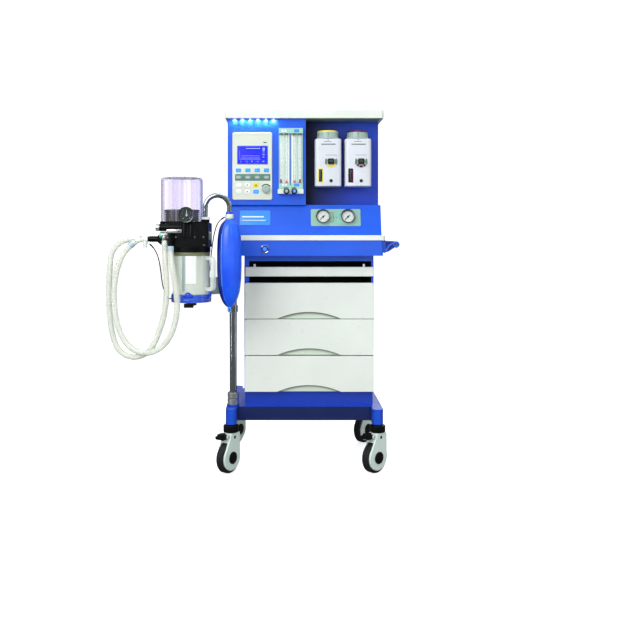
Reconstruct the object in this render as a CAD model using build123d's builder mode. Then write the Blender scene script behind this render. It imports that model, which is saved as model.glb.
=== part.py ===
"""Anesthesia machine on a caster trolley, with a swing-out carbon dioxide absorber and a breathing circuit.

Millimetres, +Z up, the front faces -Y.  The pieces are laid out in machine coordinates, whose X = Y = 0
is the centre of the caster base on the floor; ORIGIN then moves every piece so that the row's origin is
the middle of the whole machine's footprint.
"""

from build123d import *
from math import atan2, cos, degrees, pi, radians, sin, tan
import os

# ---- driving dimensions -------------------------------------------------------------------------------

ORIGIN = (-133.05, -113.51)  # machine coordinates of the footprint's centre
SHEET = 2.5  # sheet-metal thickness
RUN = 0.05  # radial clearance of a running fit
GAP = 1.0  # clearance between neighbours that move

WHEEL_R = 62.5
RUNNER_X, RUNNER_WIDTH, RUNNER_LENGTH = 295.0, 44.0, 520.0
RUNNER_BOTTOM, RUNNER_TOP = 192.0, 253.0
STEM_Y = RUNNER_LENGTH / 2 - RUNNER_WIDTH / 2
PLINTH_TOP = 312.0
CABINET_X, CABINET_WIDTH, CABINET_TOP = 20.0, 529.0, 869.0
CABINET_FRONT, BACK = -185.0, 215.0
APRON_TOP, APRON_WIDTH, APRON_FRONT = 931.0, 626.0, -276.0
WORKTOP_TOP, WORKTOP_WIDTH = 951.0, 644.0
CONSOLE_TOP, CONSOLE_FRONT, CONSOLE_LEAN, HEAD_WIDTH = 1074.0, -248.0, 38.0, 620.0
HEAD_BACK, HEAD_FRONT, BAY_WALL, BAY_X = 200.0, -225.0, -130.0, 6.0
SHELF_BOTTOM, SHELF_TOP, SHELF_WIDTH = 1422.0, 1457.0, 640.0

FRONTS, TRAY_FRONT, FRONT_FACE, FRONT_THICK = (-242.0, 284.0), (-239.5, 284.0), -205.0, 19.0
OPENING, BOX = (-225.0, 275.0), (-222.0, 262.0)  # the cabinet's mouth and the drawers' boxes, in X
DRAWERS = {"drawer_bottom": (313.5, 459.5), "drawer_middle": (463.0, 609.0), "drawer_top": (611.0, 757.0)}
DRAWER_DEPTH, DRAWER_WALL = 356.0, 2.0
PULL_CHORD, PULL_RISE, PULL_DEPTH = 262.0, 28.0, 14.0
TRAY_BOTTOM, TRAY_TOP = 783.0, 822.0

POLE = (-290.0, -188.0)
POLE_R = 14.75
ARM_BOTTOM, ARM_TOP, ARM_WIDTH = 716.0, 783.0, 36.0
CANISTER = (-433.5, -420.0)
CANISTER_R, CANISTER_WALL = 69.7, 3.0
CANISTER_BOTTOM, BLOCK_FLANGE, BLOCK_BOTTOM, BLOCK_TOP = 708.0, 887.3, 906.0, 998.0
BLOCK_LEFT, BLOCK_RIGHT, BLOCK_FRONT, BLOCK_BACK = -514.6, -363.7, -485.0, -325.0
DOME = (-474.0, -383.0)
DOME_R, DOME_TOP, DOME_WALL, DOME_EDGE = 80.5, 1172.0, 3.0, 10.0
BAG_PORT_X, BAG_X, BAG_TOP, BAG_BOTTOM = -380.0, -289.0, 1014.0, 660.0
PIPE_R, PIPE_WALL, PIPE_ARCH = 9.5, 1.5, 1057.0
HOSE_R, LINE_R = 11.0, 1.5
PLUG_Y, PLUG_Z = -470.0, 937.0
END_A, END_B = (-634.0, -454.0, 937.0), (-640.0, -486.0, 922.0)  # the hoses' ends in the Y-piece
LINE_START, LINE_END = Vector(-583, -470, 918), Vector(-306, -420, 1020)
LINE_OUT, LINE_IN = Vector(14, 0, -12).normalized(), Vector(14, 0, 7).normalized()

BASE = (Align.CENTER, Align.CENTER, Align.MIN)
LEAN = atan2(CONSOLE_LEAN, CONSOLE_TOP - WORKTOP_TOP)  # the console's face from the vertical

os.makedirs("parts", exist_ok=True)


# ---- helpers ------------------------------------------------------------------------------------------


def save(piece, name):
    """Label a finished piece and write it, moved from machine coordinates to the row's origin."""
    piece.part.label = name
    export_step(piece.part.moved(Location((-ORIGIN[0], -ORIGIN[1], 0))), f"parts/{name}.step")


def block(x, y, z, mode=Mode.ADD):
    """A box from (low, high) spans along X, Y and Z, in the part being built."""
    with Locations((sum(x) / 2, sum(y) / 2, sum(z) / 2)):
        Box(x[1] - x[0], y[1] - y[0], z[1] - z[0], mode=mode)


def rod(start, direction, radius, length, mode=Mode.ADD):
    """A cylinder from a start point along a direction, in the part being built."""
    with Locations(Plane(start, z_dir=direction)):
        Cylinder(radius, length, align=BASE, mode=mode)


def front_plane(y):
    """The plane facing the front at that Y: sketch x is X, sketch y is Z, and it extrudes towards -Y."""
    return Plane.XZ.offset(-y)


def spans(centre, width):
    """The (low, high) span of a width about its centre."""
    return (centre - width / 2, centre + width / 2)


# ---- base: runners, beams, pan and plinth --------------------------------------------------------------

BEAM_X = RUNNER_X - RUNNER_WIDTH / 2
STEMS = [(sx * RUNNER_X, sy * STEM_Y) for sx in (-1, 1) for sy in (-1, 1)]
PLINTH_X = (-242.0, 282.0)
SOCKET_TOP = 261.0

with BuildPart() as base_frame:
    for inset, top, mode in ((0, RUNNER_TOP, Mode.ADD), (SHEET, RUNNER_TOP - SHEET, Mode.SUBTRACT)):
        with BuildSketch(Plane.XY.offset(RUNNER_BOTTOM)):
            with Locations((-RUNNER_X, 0), (RUNNER_X, 0)):
                SlotOverall(RUNNER_LENGTH - 2 * inset, RUNNER_WIDTH - 2 * inset, rotation=90)
        extrude(amount=top - RUNNER_BOTTOM, mode=mode)
    for x, y in STEMS:
        rod((x, y, RUNNER_BOTTOM), (0, 0, 1), RUNNER_WIDTH / 2, 8)
    for y in ((-195.0, -170.0), (170.0, 195.0)):
        block((-BEAM_X, BEAM_X), y, (196, 250))
    block((-BEAM_X, BEAM_X), (-195, 195), (250, RUNNER_TOP))
    block(PLINTH_X, (-172, 200), (RUNNER_TOP, PLINTH_TOP))
    block(
        (PLINTH_X[0] + SHEET, PLINTH_X[1] - SHEET),
        (-172 + SHEET, 200 - SHEET),
        (RUNNER_TOP, PLINTH_TOP),
        Mode.SUBTRACT,
    )
    rod((*POLE, RUNNER_TOP), (0, 0, 1), 26, SOCKET_TOP - RUNNER_TOP)
save(base_frame, "base_frame")

# ---- casters ------------------------------------------------------------------------------------------

TRAIL = 18.0  # from the stem's axis to the wheel's axis
CAP_BOTTOM, CAP_TOP, CAP_R, STEM_R = 160.5, 188.0, 31.0, 8.0
FORK_TOP = 160.0
COVER_R, COVER_THICK, WHEEL_WIDTH = 51.0, 7.0, 29.0
FORK_WIDTH = WHEEL_WIDTH + 2 * (COVER_THICK + GAP)
AXLE_R, HUB_R = 6.0, 24.0
PEDAL_PIVOT = (40.0, 86.0)  # along the trail and above the wheel's axis
PEDAL_PIN_R, PEDAL_WIDTH = 3.0, 26.0
CASTERS = {  # the stem and the angle that the wheel's visible side turns from the front
    "front_left": (-RUNNER_X, -STEM_Y, 56),
    "front_right": (RUNNER_X, -STEM_Y, 42),
    "rear_left": (-RUNNER_X, STEM_Y, 62),
    "rear_right": (RUNNER_X, STEM_Y, 50),
}

with BuildPart() as caster_stems:
    for x, y in STEMS:
        rod((x, y, CAP_BOTTOM), (0, 0, 1), CAP_R, CAP_TOP - CAP_BOTTOM)
        rod((x, y, CAP_TOP), (0, 0, 1), 12, RUNNER_BOTTOM - CAP_TOP)
        rod((x, y, 137), (0, 0, 1), STEM_R, CAP_BOTTOM - 137)
    rims = caster_stems.edges().filter_by(GeomType.CIRCLE).filter_by(lambda e: e.radius > CAP_R - 1)
    fillet(rims, 3)
save(caster_stems, "caster_stems")


def caster(name, stem_x, stem_y, turn):
    """One caster's fork with its covers, its wheel and its brake pedal, at its stem and angle."""
    trail = Vector(-cos(radians(turn)), -sin(radians(turn)), 0)
    side = Vector(sin(radians(turn)), -cos(radians(turn)), 0)
    stem = Vector(stem_x, stem_y, WHEEL_R)
    axle = stem + trail * TRAIL
    profile = Plane(stem, x_dir=trail, z_dir=-side)  # sketch x is the trail, sketch y is up
    top = FORK_TOP - WHEEL_R

    with BuildPart() as fork:
        with BuildSketch(profile) as cheek:
            with BuildLine():
                Polyline((-CAP_R, top), (CAP_R, top), (CAP_R, 84), (58, 31), (TRAIL, 0), (-33, 0), close=True)
            make_face()
            with Locations((TRAIL, 0)):
                Circle(COVER_R)
            fillet(cheek.vertices().filter_by(lambda v: v.Z < FORK_TOP - 5), 8)
        extrude(amount=FORK_WIDTH / 2, both=True)
        outline = fork.faces().filter_by(lambda f: abs(abs(f.normal_at().dot(side)) - 1) < 1e-3)
        fillet(outline.edges(), 4)
        rod(axle - side * (WHEEL_WIDTH / 2 + GAP), side, WHEEL_R + 3.5, WHEEL_WIDTH + 2 * GAP, Mode.SUBTRACT)
        rod(axle - side * FORK_WIDTH, side, AXLE_R + RUN, 2 * FORK_WIDTH, Mode.SUBTRACT)
        rod(Vector(stem_x, stem_y, 136), (0, 0, 1), STEM_R + RUN, 40, Mode.SUBTRACT)
        with BuildSketch(profile):
            with Locations((PEDAL_PIVOT[0] - 5, PEDAL_PIVOT[1])):
                RectangleRounded(24, 14, 5)
        extrude(amount=FORK_WIDTH / 2 - 3, both=True)
        with BuildSketch(profile):
            with Locations((PEDAL_PIVOT[0], PEDAL_PIVOT[1] - 1)):
                Rectangle(19, 20)
        extrude(amount=PEDAL_WIDTH / 2 + GAP, both=True, mode=Mode.SUBTRACT)
        with BuildSketch(profile):
            with Locations(PEDAL_PIVOT):
                Circle(PEDAL_PIN_R)
        extrude(amount=FORK_WIDTH / 2 - 4, both=True)
    save(fork, f"caster_fork_{name}")

    with BuildPart() as wheel:
        rod(axle - side * WHEEL_WIDTH / 2, side, WHEEL_R, WHEEL_WIDTH)
        fillet(wheel.edges().filter_by(GeomType.CIRCLE), 6)
        rod(axle - side * (FORK_WIDTH / 2 + 3), side, AXLE_R, FORK_WIDTH + 6)
        for way in (-1, 1):
            rod(axle + side * way * (FORK_WIDTH / 2 + 0.5), side * way, HUB_R, 3)
    save(wheel, f"caster_wheel_{name}")

    with BuildPart() as pedal:
        with BuildSketch(profile):
            with Locations(PEDAL_PIVOT):
                Circle(7)
            with BuildLine():
                Polyline((40, 92.5), (62, 89), (80, 95), (86, 92), (84, 82), (66, 76), (40, 79.5), close=True)
            make_face()
            with Locations(PEDAL_PIVOT):
                Circle(PEDAL_PIN_R + RUN, mode=Mode.SUBTRACT)
        extrude(amount=PEDAL_WIDTH / 2, both=True)
    save(pedal, f"caster_pedal_{name}")


for caster_name, (caster_x, caster_y, caster_turn) in CASTERS.items():
    caster(caster_name, caster_x, caster_y, caster_turn)

# ---- cabinet ------------------------------------------------------------------------------------------

CABINET = spans(CABINET_X, CABINET_WIDTH)
INSIDE = spans(CABINET_X, CABINET_WIDTH - 2 * SHEET)
RAIL_HEIGHT = 30.0

with BuildPart() as cabinet_shell:
    block(CABINET, (CABINET_FRONT, BACK), (PLINTH_TOP, CABINET_TOP))
    block(
        INSIDE,
        (CABINET_FRONT + SHEET, BACK - SHEET),
        (PLINTH_TOP + SHEET, CABINET_TOP - SHEET),
        Mode.SUBTRACT,
    )
    block(OPENING, (CABINET_FRONT, CABINET_FRONT + SHEET), (PLINTH_TOP + SHEET, 845), Mode.SUBTRACT)
    for bottom, top in DRAWERS.values():
        middle = (bottom + top) / 2
        block((INSIDE[0], BOX[0] - GAP), (-180, 180), spans(middle, RAIL_HEIGHT))
        block((BOX[1] + GAP, INSIDE[1]), (-180, 180), spans(middle, RAIL_HEIGHT))
    block((INSIDE[0], BOX[0] - GAP), (-180, 180), (779, 797))
    block((BOX[1] + GAP, INSIDE[1]), (-180, 180), (779, 797))
save(cabinet_shell, "cabinet_shell")

for drawer_name, (bottom, top) in DRAWERS.items():
    with BuildPart() as drawer:
        with BuildSketch(front_plane(FRONT_FACE + FRONT_THICK)):
            with Locations((sum(FRONTS) / 2, (bottom + top) / 2)):
                Rectangle(FRONTS[1] - FRONTS[0], top - bottom)
        extrude(amount=FRONT_THICK)
        fillet(drawer.edges().filter_by(Axis.Y).group_by(Axis.Z)[-1], 8)
        fillet(drawer.faces().sort_by(Axis.Y)[0].edges(), 2)
        pull_radius = (PULL_CHORD**2 / 4 + PULL_RISE**2) / (2 * PULL_RISE)
        with BuildSketch(front_plane(FRONT_FACE)):
            with Locations((CABINET_X, bottom + PULL_RISE - pull_radius)):
                Circle(pull_radius)
            with Locations((CABINET_X, bottom + PULL_RISE / 2)):
                Rectangle(PULL_CHORD, PULL_RISE, mode=Mode.INTERSECT)
        extrude(amount=-PULL_DEPTH, mode=Mode.SUBTRACT)
        box_y = (FRONT_FACE + FRONT_THICK, FRONT_FACE + FRONT_THICK + DRAWER_DEPTH)
        block(BOX, box_y, (bottom + 12, top - 24))
        block(
            (BOX[0] + DRAWER_WALL, BOX[1] - DRAWER_WALL),
            (box_y[0] + DRAWER_WALL, box_y[1] - DRAWER_WALL),
            (bottom + 12 + DRAWER_WALL, top - 24),
            Mode.SUBTRACT,
        )
    save(drawer, drawer_name)

with BuildPart() as writing_tray:
    block(TRAY_FRONT, (FRONT_FACE, FRONT_FACE + FRONT_THICK), (TRAY_BOTTOM, TRAY_TOP))
    fillet(writing_tray.faces().sort_by(Axis.Y)[0].edges(), 3)
    block(BOX, (FRONT_FACE + FRONT_THICK, 170), (TRAY_BOTTOM + 3, TRAY_BOTTOM + 13))
    for x in (-202.0, 243.0):
        rod((x, FRONT_FACE + 9, TRAY_TOP), (0, 0, 1), 5, 12)
save(writing_tray, "writing_tray")

# ---- apron box under the worktop, with the oxygen flush button -------------------------------------------

FLUSH = (-158.0, 896.0)
FLUSH_R, FLUSH_TRAVEL = 11.0, 6.0

with BuildPart() as apron_box:
    block(spans(0, APRON_WIDTH), (APRON_FRONT, BACK), (CABINET_TOP, APRON_TOP))
    fillet(apron_box.edges().filter_by(Axis.Z).group_by(Axis.Y)[0], 8)
    block(
        spans(0, APRON_WIDTH - 2 * SHEET),
        (APRON_FRONT + SHEET, BACK - SHEET),
        (CABINET_TOP + SHEET, APRON_TOP),
        Mode.SUBTRACT,
    )
    rod((FLUSH[0], APRON_FRONT, FLUSH[1]), (0, -1, 0), 16.5, 3)
    rod((FLUSH[0], APRON_FRONT - 5, FLUSH[1]), (0, 1, 0), FLUSH_R + RUN, 10, Mode.SUBTRACT)
save(apron_box, "apron_box")

with BuildPart() as flush_button:
    rod((FLUSH[0], APRON_FRONT + SHEET, FLUSH[1]), (0, -1, 0), FLUSH_R, SHEET + 10)
    fillet(flush_button.edges().group_by(Axis.Y)[0], 2)
    rod((FLUSH[0], APRON_FRONT + SHEET, FLUSH[1]), (0, 1, 0), FLUSH_R + 3, 4)
save(flush_button, "oxygen_flush_button")

with BuildPart() as worktop:
    block(spans(0, WORKTOP_WIDTH), (APRON_FRONT - 4, BACK + 5), (APRON_TOP, WORKTOP_TOP))
    fillet(worktop.edges().filter_by(Axis.Z), 14)
    fillet(worktop.edges().group_by(Axis.Z)[-1], 3)
save(worktop, "worktop")

# ---- push handle on the right ------------------------------------------------------------------------

GRIP_X, GRIP_Z, GRIP_R = 367.0, 914.0, 13.5
HANDLE_ROOT = APRON_WIDTH / 2
HANDLE_ENDS = ((-262.0, -236.0), (112.0, 138.0))

with BuildPart() as push_handle:
    for low, high in HANDLE_ENDS:
        block((HANDLE_ROOT, HANDLE_ROOT + 8), (low, high), (881, 930))
        with BuildSketch(front_plane(high)):
            with BuildLine():
                Polyline(
                    (HANDLE_ROOT + 8, 930),
                    (GRIP_X - 8, GRIP_Z + GRIP_R),
                    (GRIP_X, GRIP_Z),
                    (GRIP_X - 6, GRIP_Z - GRIP_R + 1.5),
                    (HANDLE_ROOT + 24, 886),
                    (HANDLE_ROOT + 8, 881),
                    close=True,
                )
            make_face()
            with Locations((GRIP_X, GRIP_Z)):
                Circle(GRIP_R)
        extrude(amount=high - low)
        rod((GRIP_X, low, GRIP_Z), (0, -1, 0), 5, 2.5)
    rod((GRIP_X, HANDLE_ENDS[0][1], GRIP_Z), (0, 1, 0), GRIP_R, HANDLE_ENDS[1][0] - HANDLE_ENDS[0][1])
save(push_handle, "push_handle")

# ---- gas console with its gauges ----------------------------------------------------------------------

CONSOLE_SLOPE = Plane(
    (0, CONSOLE_FRONT, WORKTOP_TOP), x_dir=(1, 0, 0), z_dir=(0, -cos(LEAN), sin(LEAN))
)  # sketch y runs up the sloping face
GAUGE_UP, GAUGE_R, GAUGE_DEPTH, GAUGE_FLOOR = 76.4, 28.5, 17.0, 4.0
GAUGES = {"pipeline": 76.0, "cylinder": 176.6}

with BuildPart() as gas_console:
    for wall, mode in ((0, Mode.ADD), (SHEET, Mode.SUBTRACT)):
        with BuildSketch(Plane.YZ.offset(-HEAD_WIDTH / 2 + wall)):
            with BuildLine():
                Polyline(
                    (CONSOLE_FRONT + wall * 1.05, WORKTOP_TOP),
                    (CONSOLE_FRONT + CONSOLE_LEAN + wall * 0.4, CONSOLE_TOP - wall),
                    (HEAD_BACK - wall, CONSOLE_TOP - wall),
                    (HEAD_BACK - wall, WORKTOP_TOP),
                    close=True,
                )
            make_face()
        extrude(amount=HEAD_WIDTH - 2 * wall, mode=mode)
save(gas_console, "gas_console")


def gauge_case(face, depth):
    """A round gauge case with a hollow for its dial and needle, on the part being built."""
    rod(face.origin, face.z_dir, GAUGE_R, depth)
    rod(face.origin + face.z_dir * GAUGE_FLOOR, face.z_dir, GAUGE_R - 3, depth, Mode.SUBTRACT)
    rod(face.origin, face.z_dir, 1.5, depth - 5)


def needle(face, name, reach=19.0, turn=225):
    """A gauge's needle on its post: a hub, a pointer and a short tail."""
    seat = Plane(face.origin + face.z_dir * (GAUGE_FLOOR + 3), x_dir=face.x_dir, z_dir=face.z_dir)
    with BuildPart() as pointer:
        with BuildSketch(seat):
            Circle(4)
            with Locations(Location((0, 0), turn)):
                with Locations((reach / 2 - 3, 0)):
                    Rectangle(reach + 6, 1.8)
            Circle(1.5 + RUN, mode=Mode.SUBTRACT)
        extrude(amount=1.2)
    save(pointer, name)


GAUGE_FACES = {
    name: Plane(
        CONSOLE_SLOPE.from_local_coords((x, GAUGE_UP, 0)), x_dir=(1, 0, 0), z_dir=CONSOLE_SLOPE.z_dir
    )
    for name, x in GAUGES.items()
}
with BuildPart() as gauge_cases:
    for gauge_face in GAUGE_FACES.values():
        gauge_case(gauge_face, GAUGE_DEPTH)
save(gauge_cases, "gauge_cases")
for gauge_name, gauge_face in GAUGE_FACES.items():
    needle(gauge_face, f"gauge_needle_{gauge_name}")

# ---- gas and power inlets on the console's back -------------------------------------------------------

INLET_Z, NIPPLE_R, NIPPLE_LENGTH = 1012.0, 6.0, 22.0
NIPPLES_X = (-200.0, -150.0, -100.0)
SOCKET_X = 140.0

with BuildPart() as rear_inlets:
    for x in NIPPLES_X:
        rod((x, HEAD_BACK, INLET_Z), (0, 1, 0), 11, 8)
        rod((x, HEAD_BACK + 8, INLET_Z), (0, 1, 0), NIPPLE_R, NIPPLE_LENGTH)
    block(spans(SOCKET_X, 50), (HEAD_BACK, HEAD_BACK + 20), spans(INLET_Z, 32))
    block(spans(SOCKET_X, 26), (HEAD_BACK + 4, HEAD_BACK + 20), spans(INLET_Z, 19), Mode.SUBTRACT)
    for x in (-7.0, 0.0, 7.0):
        block(spans(SOCKET_X + x, 2), (HEAD_BACK + 4, HEAD_BACK + 17), spans(INLET_Z, 5))
save(rear_inlets, "rear_inlets")

# ---- head housing and shelf -----------------------------------------------------------------------------

MANIFOLD_X, MANIFOLD_Z, MANIFOLD_FRONT = (48.0, 266.0), (1185.0, 1320.0), -150.0

with BuildPart() as head_housing:
    for wall, mode in ((0, Mode.ADD), (SHEET, Mode.SUBTRACT)):
        with BuildSketch(Plane.XY.offset(CONSOLE_TOP)):
            with BuildLine():
                Polyline(
                    (-HEAD_WIDTH / 2 + wall, HEAD_FRONT + wall),
                    (BAY_X - wall, HEAD_FRONT + wall),
                    (BAY_X - wall, BAY_WALL + wall),
                    (HEAD_WIDTH / 2 - wall, BAY_WALL + wall),
                    (HEAD_WIDTH / 2 - wall, HEAD_BACK - wall),
                    (-HEAD_WIDTH / 2 + wall, HEAD_BACK - wall),
                    close=True,
                )
            make_face()
        extrude(amount=SHELF_BOTTOM - CONSOLE_TOP - wall, mode=mode)
    block(MANIFOLD_X, (MANIFOLD_FRONT, BAY_WALL), MANIFOLD_Z)
save(head_housing, "head_housing")

with BuildPart() as top_shelf:
    block(spans(0, SHELF_WIDTH), (HEAD_FRONT - 20, BACK), (SHELF_BOTTOM, SHELF_TOP))
    fillet(top_shelf.edges().filter_by(Axis.Z), 12)
    fillet(top_shelf.edges().group_by(Axis.Z)[-1], 5)
    fillet(top_shelf.edges().group_by(Axis.Z)[0], 2)
save(top_shelf, "top_shelf")

# ---- ventilator control panel with its rotary knob ---------------------------------------------------------

PANEL_X, PANEL_Z, PANEL_THICK = (-290.4, -129.9), (1094.0, 1367.0), 8.0
SCREEN_X, SCREEN_Z = (-269.0, -149.0), (1239.0, 1310.0)
KNOB = (-154.5, 1137.0)
KNOB_R, KNOB_SHAFT_R = 15.0, 3.0

with BuildPart() as control_panel:
    with BuildSketch(front_plane(HEAD_FRONT)):
        with Locations((sum(PANEL_X) / 2, sum(PANEL_Z) / 2)):
            RectangleRounded(PANEL_X[1] - PANEL_X[0], PANEL_Z[1] - PANEL_Z[0], 8)
    extrude(amount=PANEL_THICK)
    fillet(control_panel.faces().sort_by(Axis.Y)[0].edges(), 2)
    block(SCREEN_X, (HEAD_FRONT - PANEL_THICK, HEAD_FRONT - PANEL_THICK + 2), SCREEN_Z, Mode.SUBTRACT)
    rod((KNOB[0], HEAD_FRONT, KNOB[1]), (0, -1, 0), KNOB_SHAFT_R + RUN, PANEL_THICK, Mode.SUBTRACT)
save(control_panel, "control_panel")

with BuildPart() as control_knob:
    rod((KNOB[0], HEAD_FRONT - PANEL_THICK - GAP, KNOB[1]), (0, -1, 0), KNOB_R, 14)
    fillet(control_knob.edges().group_by(Axis.Y)[0], 2)
    rod((KNOB[0], HEAD_FRONT - 1, KNOB[1]), (0, -1, 0), KNOB_SHAFT_R, PANEL_THICK + 2)
save(control_knob, "control_knob")

# ---- flowmeter bank -----------------------------------------------------------------------------------

FLOW_X, FLOW_FRONT = (-102.8, -6.1), -237.0
TUBES_X = (-93.9, -72.0, -39.7, -17.8)
TUBE_R, TUBE_WALL, TUBE_Y, TUBE_Z = 6.5, 1.2, -243.8, (1160.0, 1360.0)
VALVE_Z, VALVE_FRONT = 1127.0, -250.0
VALVES = {"flow_knob_air": -72.0, "flow_knob_oxygen": -40.5}

with BuildPart() as flow_block:
    block(FLOW_X, (FLOW_FRONT, HEAD_FRONT), (1136, 1381))
    block(FLOW_X, (FLOW_FRONT - 15, FLOW_FRONT), (TUBE_Z[1], 1381))
    block(FLOW_X, (FLOW_FRONT - 15, FLOW_FRONT), (1136, TUBE_Z[0]))
    block((FLOW_X[0] - 4, FLOW_X[1] + 2), (VALVE_FRONT - 2, HEAD_FRONT), (1118, 1136))
    for x in VALVES.values():
        rod((x, VALVE_FRONT + 12, VALVE_Z), (0, -1, 0), KNOB_SHAFT_R + RUN, 20, Mode.SUBTRACT)
save(flow_block, "flow_block")

with BuildPart() as flow_tubes:
    for x in TUBES_X:
        rod((x, TUBE_Y, TUBE_Z[0]), (0, 0, 1), TUBE_R, TUBE_Z[1] - TUBE_Z[0])
        rod((x, TUBE_Y, TUBE_Z[0]), (0, 0, 1), TUBE_R - TUBE_WALL, TUBE_Z[1] - TUBE_Z[0], Mode.SUBTRACT)
save(flow_tubes, "flow_tubes")

with BuildPart() as flow_floats:
    for x in TUBES_X:
        with Locations((x, TUBE_Y, TUBE_Z[0] + 0.5)):
            Cone(2, 4.4, 8, align=BASE)
save(flow_floats, "flow_floats")

for valve_name, valve_x in VALVES.items():
    with BuildPart() as valve_knob:
        rod((valve_x, VALVE_FRONT - 3, VALVE_Z), (0, -1, 0), 11.5, 22)
        fillet(valve_knob.edges().group_by(Axis.Y)[0], 2)
        rod((valve_x, VALVE_FRONT + 10, VALVE_Z), (0, -1, 0), KNOB_SHAFT_R, 14)
    save(valve_knob, valve_name)

# ---- vaporizers ---------------------------------------------------------------------------------------

VAPORIZERS = {"left": 96.0, "right": 217.2}
VAPORIZER_WIDTH, VAPORIZER_FRONT, VAPORIZER_Z = 107.0, -240.0, (1148.0, 1341.0)
DIAL_Y, DIAL_R, DIAL_TOP, SPINDLE_R = -195.0, 43.5, 1374.0, 6.0
LOCK_OFFSET, LOCK_Z, LOCK_SIZE, LOCK_EDGE, LOCK_TRAVEL = 11.5, 1248.0, (26.0, 24.0), 6.0, 5.0


def vaporizer(side, x):
    """One vaporizer: its body, the concentration dial on top and the lock button on its front."""
    with BuildPart() as body:
        with BuildSketch(Plane.XY.offset(VAPORIZER_Z[0])):
            with Locations((x, (VAPORIZER_FRONT + MANIFOLD_FRONT) / 2)):
                RectangleRounded(VAPORIZER_WIDTH, MANIFOLD_FRONT - VAPORIZER_FRONT, 16)
        extrude(amount=VAPORIZER_Z[1] - VAPORIZER_Z[0])
        fillet(body.edges().group_by(Axis.Z)[0], 5)
        fillet(body.edges().group_by(Axis.Z)[-1], 5)
        block(spans(x, 80), (-205, MANIFOLD_FRONT), (MANIFOLD_Z[0] + 12, MANIFOLD_Z[1] - 12), Mode.SUBTRACT)
        with BuildSketch(front_plane(VAPORIZER_FRONT + 18)):
            with Locations((x + LOCK_OFFSET, LOCK_Z)):
                RectangleRounded(LOCK_SIZE[0] + 2 * RUN, LOCK_SIZE[1] + 2 * RUN, LOCK_EDGE + RUN)
        extrude(amount=30, mode=Mode.SUBTRACT)
        rod((x, DIAL_Y, VAPORIZER_Z[1]), (0, 0, -1), SPINDLE_R + RUN, 14, Mode.SUBTRACT)
    save(body, f"vaporizer_{side}")

    with BuildPart() as dial:
        with Locations((x, DIAL_Y, VAPORIZER_Z[1] + GAP)):
            Cone(DIAL_R, DIAL_R - 2, DIAL_TOP - VAPORIZER_Z[1] - GAP, align=BASE)
        fillet(dial.edges().group_by(Axis.Z)[-1], 2)
        rod((x, DIAL_Y, VAPORIZER_Z[1] + GAP), (0, 0, -1), SPINDLE_R, 12)
    save(dial, f"vaporizer_dial_{side}")

    with BuildPart() as lock:
        with BuildSketch(front_plane(VAPORIZER_FRONT + 11)):
            with Locations((x + LOCK_OFFSET, LOCK_Z)):
                RectangleRounded(*LOCK_SIZE, LOCK_EDGE)
        extrude(amount=19)
        fillet(lock.edges().group_by(Axis.Y)[0], 1.5)
    save(lock, f"vaporizer_lock_{side}")


for vaporizer_side, vaporizer_x in VAPORIZERS.items():
    vaporizer(vaporizer_side, vaporizer_x)

# ---- pole and swing arm ---------------------------------------------------------------------------------

COLLAR_R, SLEEVE_R, HUB_OUTER_R = 22.5, 19.0, 27.0
BRACKET_X, BRACKET_Y = (-455.0, -405.0), (BLOCK_BACK, -311.0)

with BuildPart() as pole:
    rod((*POLE, SOCKET_TOP), (0, 0, 1), POLE_R, CABINET_TOP - SOCKET_TOP)
    rod((*POLE, SOCKET_TOP), (0, 0, 1), COLLAR_R, 24)
    rod((*POLE, SOCKET_TOP + 26), (0, 0, 1), COLLAR_R, 23)
    rod((*POLE, 638), (0, 0, 1), SLEEVE_R, 26)
    rod((*POLE, CABINET_TOP - 6), (0, 0, 1), 22, 6)
save(pole, "pole")

ARM_END = (sum(BRACKET_X) / 2, sum(BRACKET_Y) / 2)
ARM_RUN = Vector(ARM_END[0] - POLE[0], ARM_END[1] - POLE[1], 0)

with BuildPart() as absorber_arm:
    with BuildSketch(Plane((*POLE, ARM_BOTTOM), x_dir=ARM_RUN)):
        with Locations((ARM_RUN.length / 2, 0)):
            Rectangle(ARM_RUN.length, ARM_WIDTH)
        Circle(HUB_OUTER_R)
    extrude(amount=ARM_TOP - ARM_BOTTOM)
    fillet(absorber_arm.edges().group_by(Axis.Z)[-1], 3)
    fillet(absorber_arm.edges().group_by(Axis.Z)[0], 3)
    block(BRACKET_X, (BRACKET_Y[0] - 60, BRACKET_Y[0]), (ARM_BOTTOM - 1, ARM_TOP + 1), Mode.SUBTRACT)
    block(BRACKET_X, BRACKET_Y, (690, 985))
    rod((*POLE, ARM_BOTTOM - 1), (0, 0, 1), POLE_R + RUN, ARM_TOP - ARM_BOTTOM + 2, Mode.SUBTRACT)
save(absorber_arm, "absorber_arm")

# ---- absorber block: valve body, ports and test plug -------------------------------------------------------

TURRET = (-464.0, -475.0, 980.0)  # right end of the level valve cylinder
TURRET_R, TURRET_LENGTH = 14.2, 80.7
BAG_PORT_R, BAG_PORT_TOP = 16.0, 1010.0
PORT_A = (-526.0, -478.0, 932.0)
PORT_B = (-501.0, -497.0, 911.0)
PLUG_TIP_X = -589.5
APL_SHAFT_R = 4.0

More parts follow.
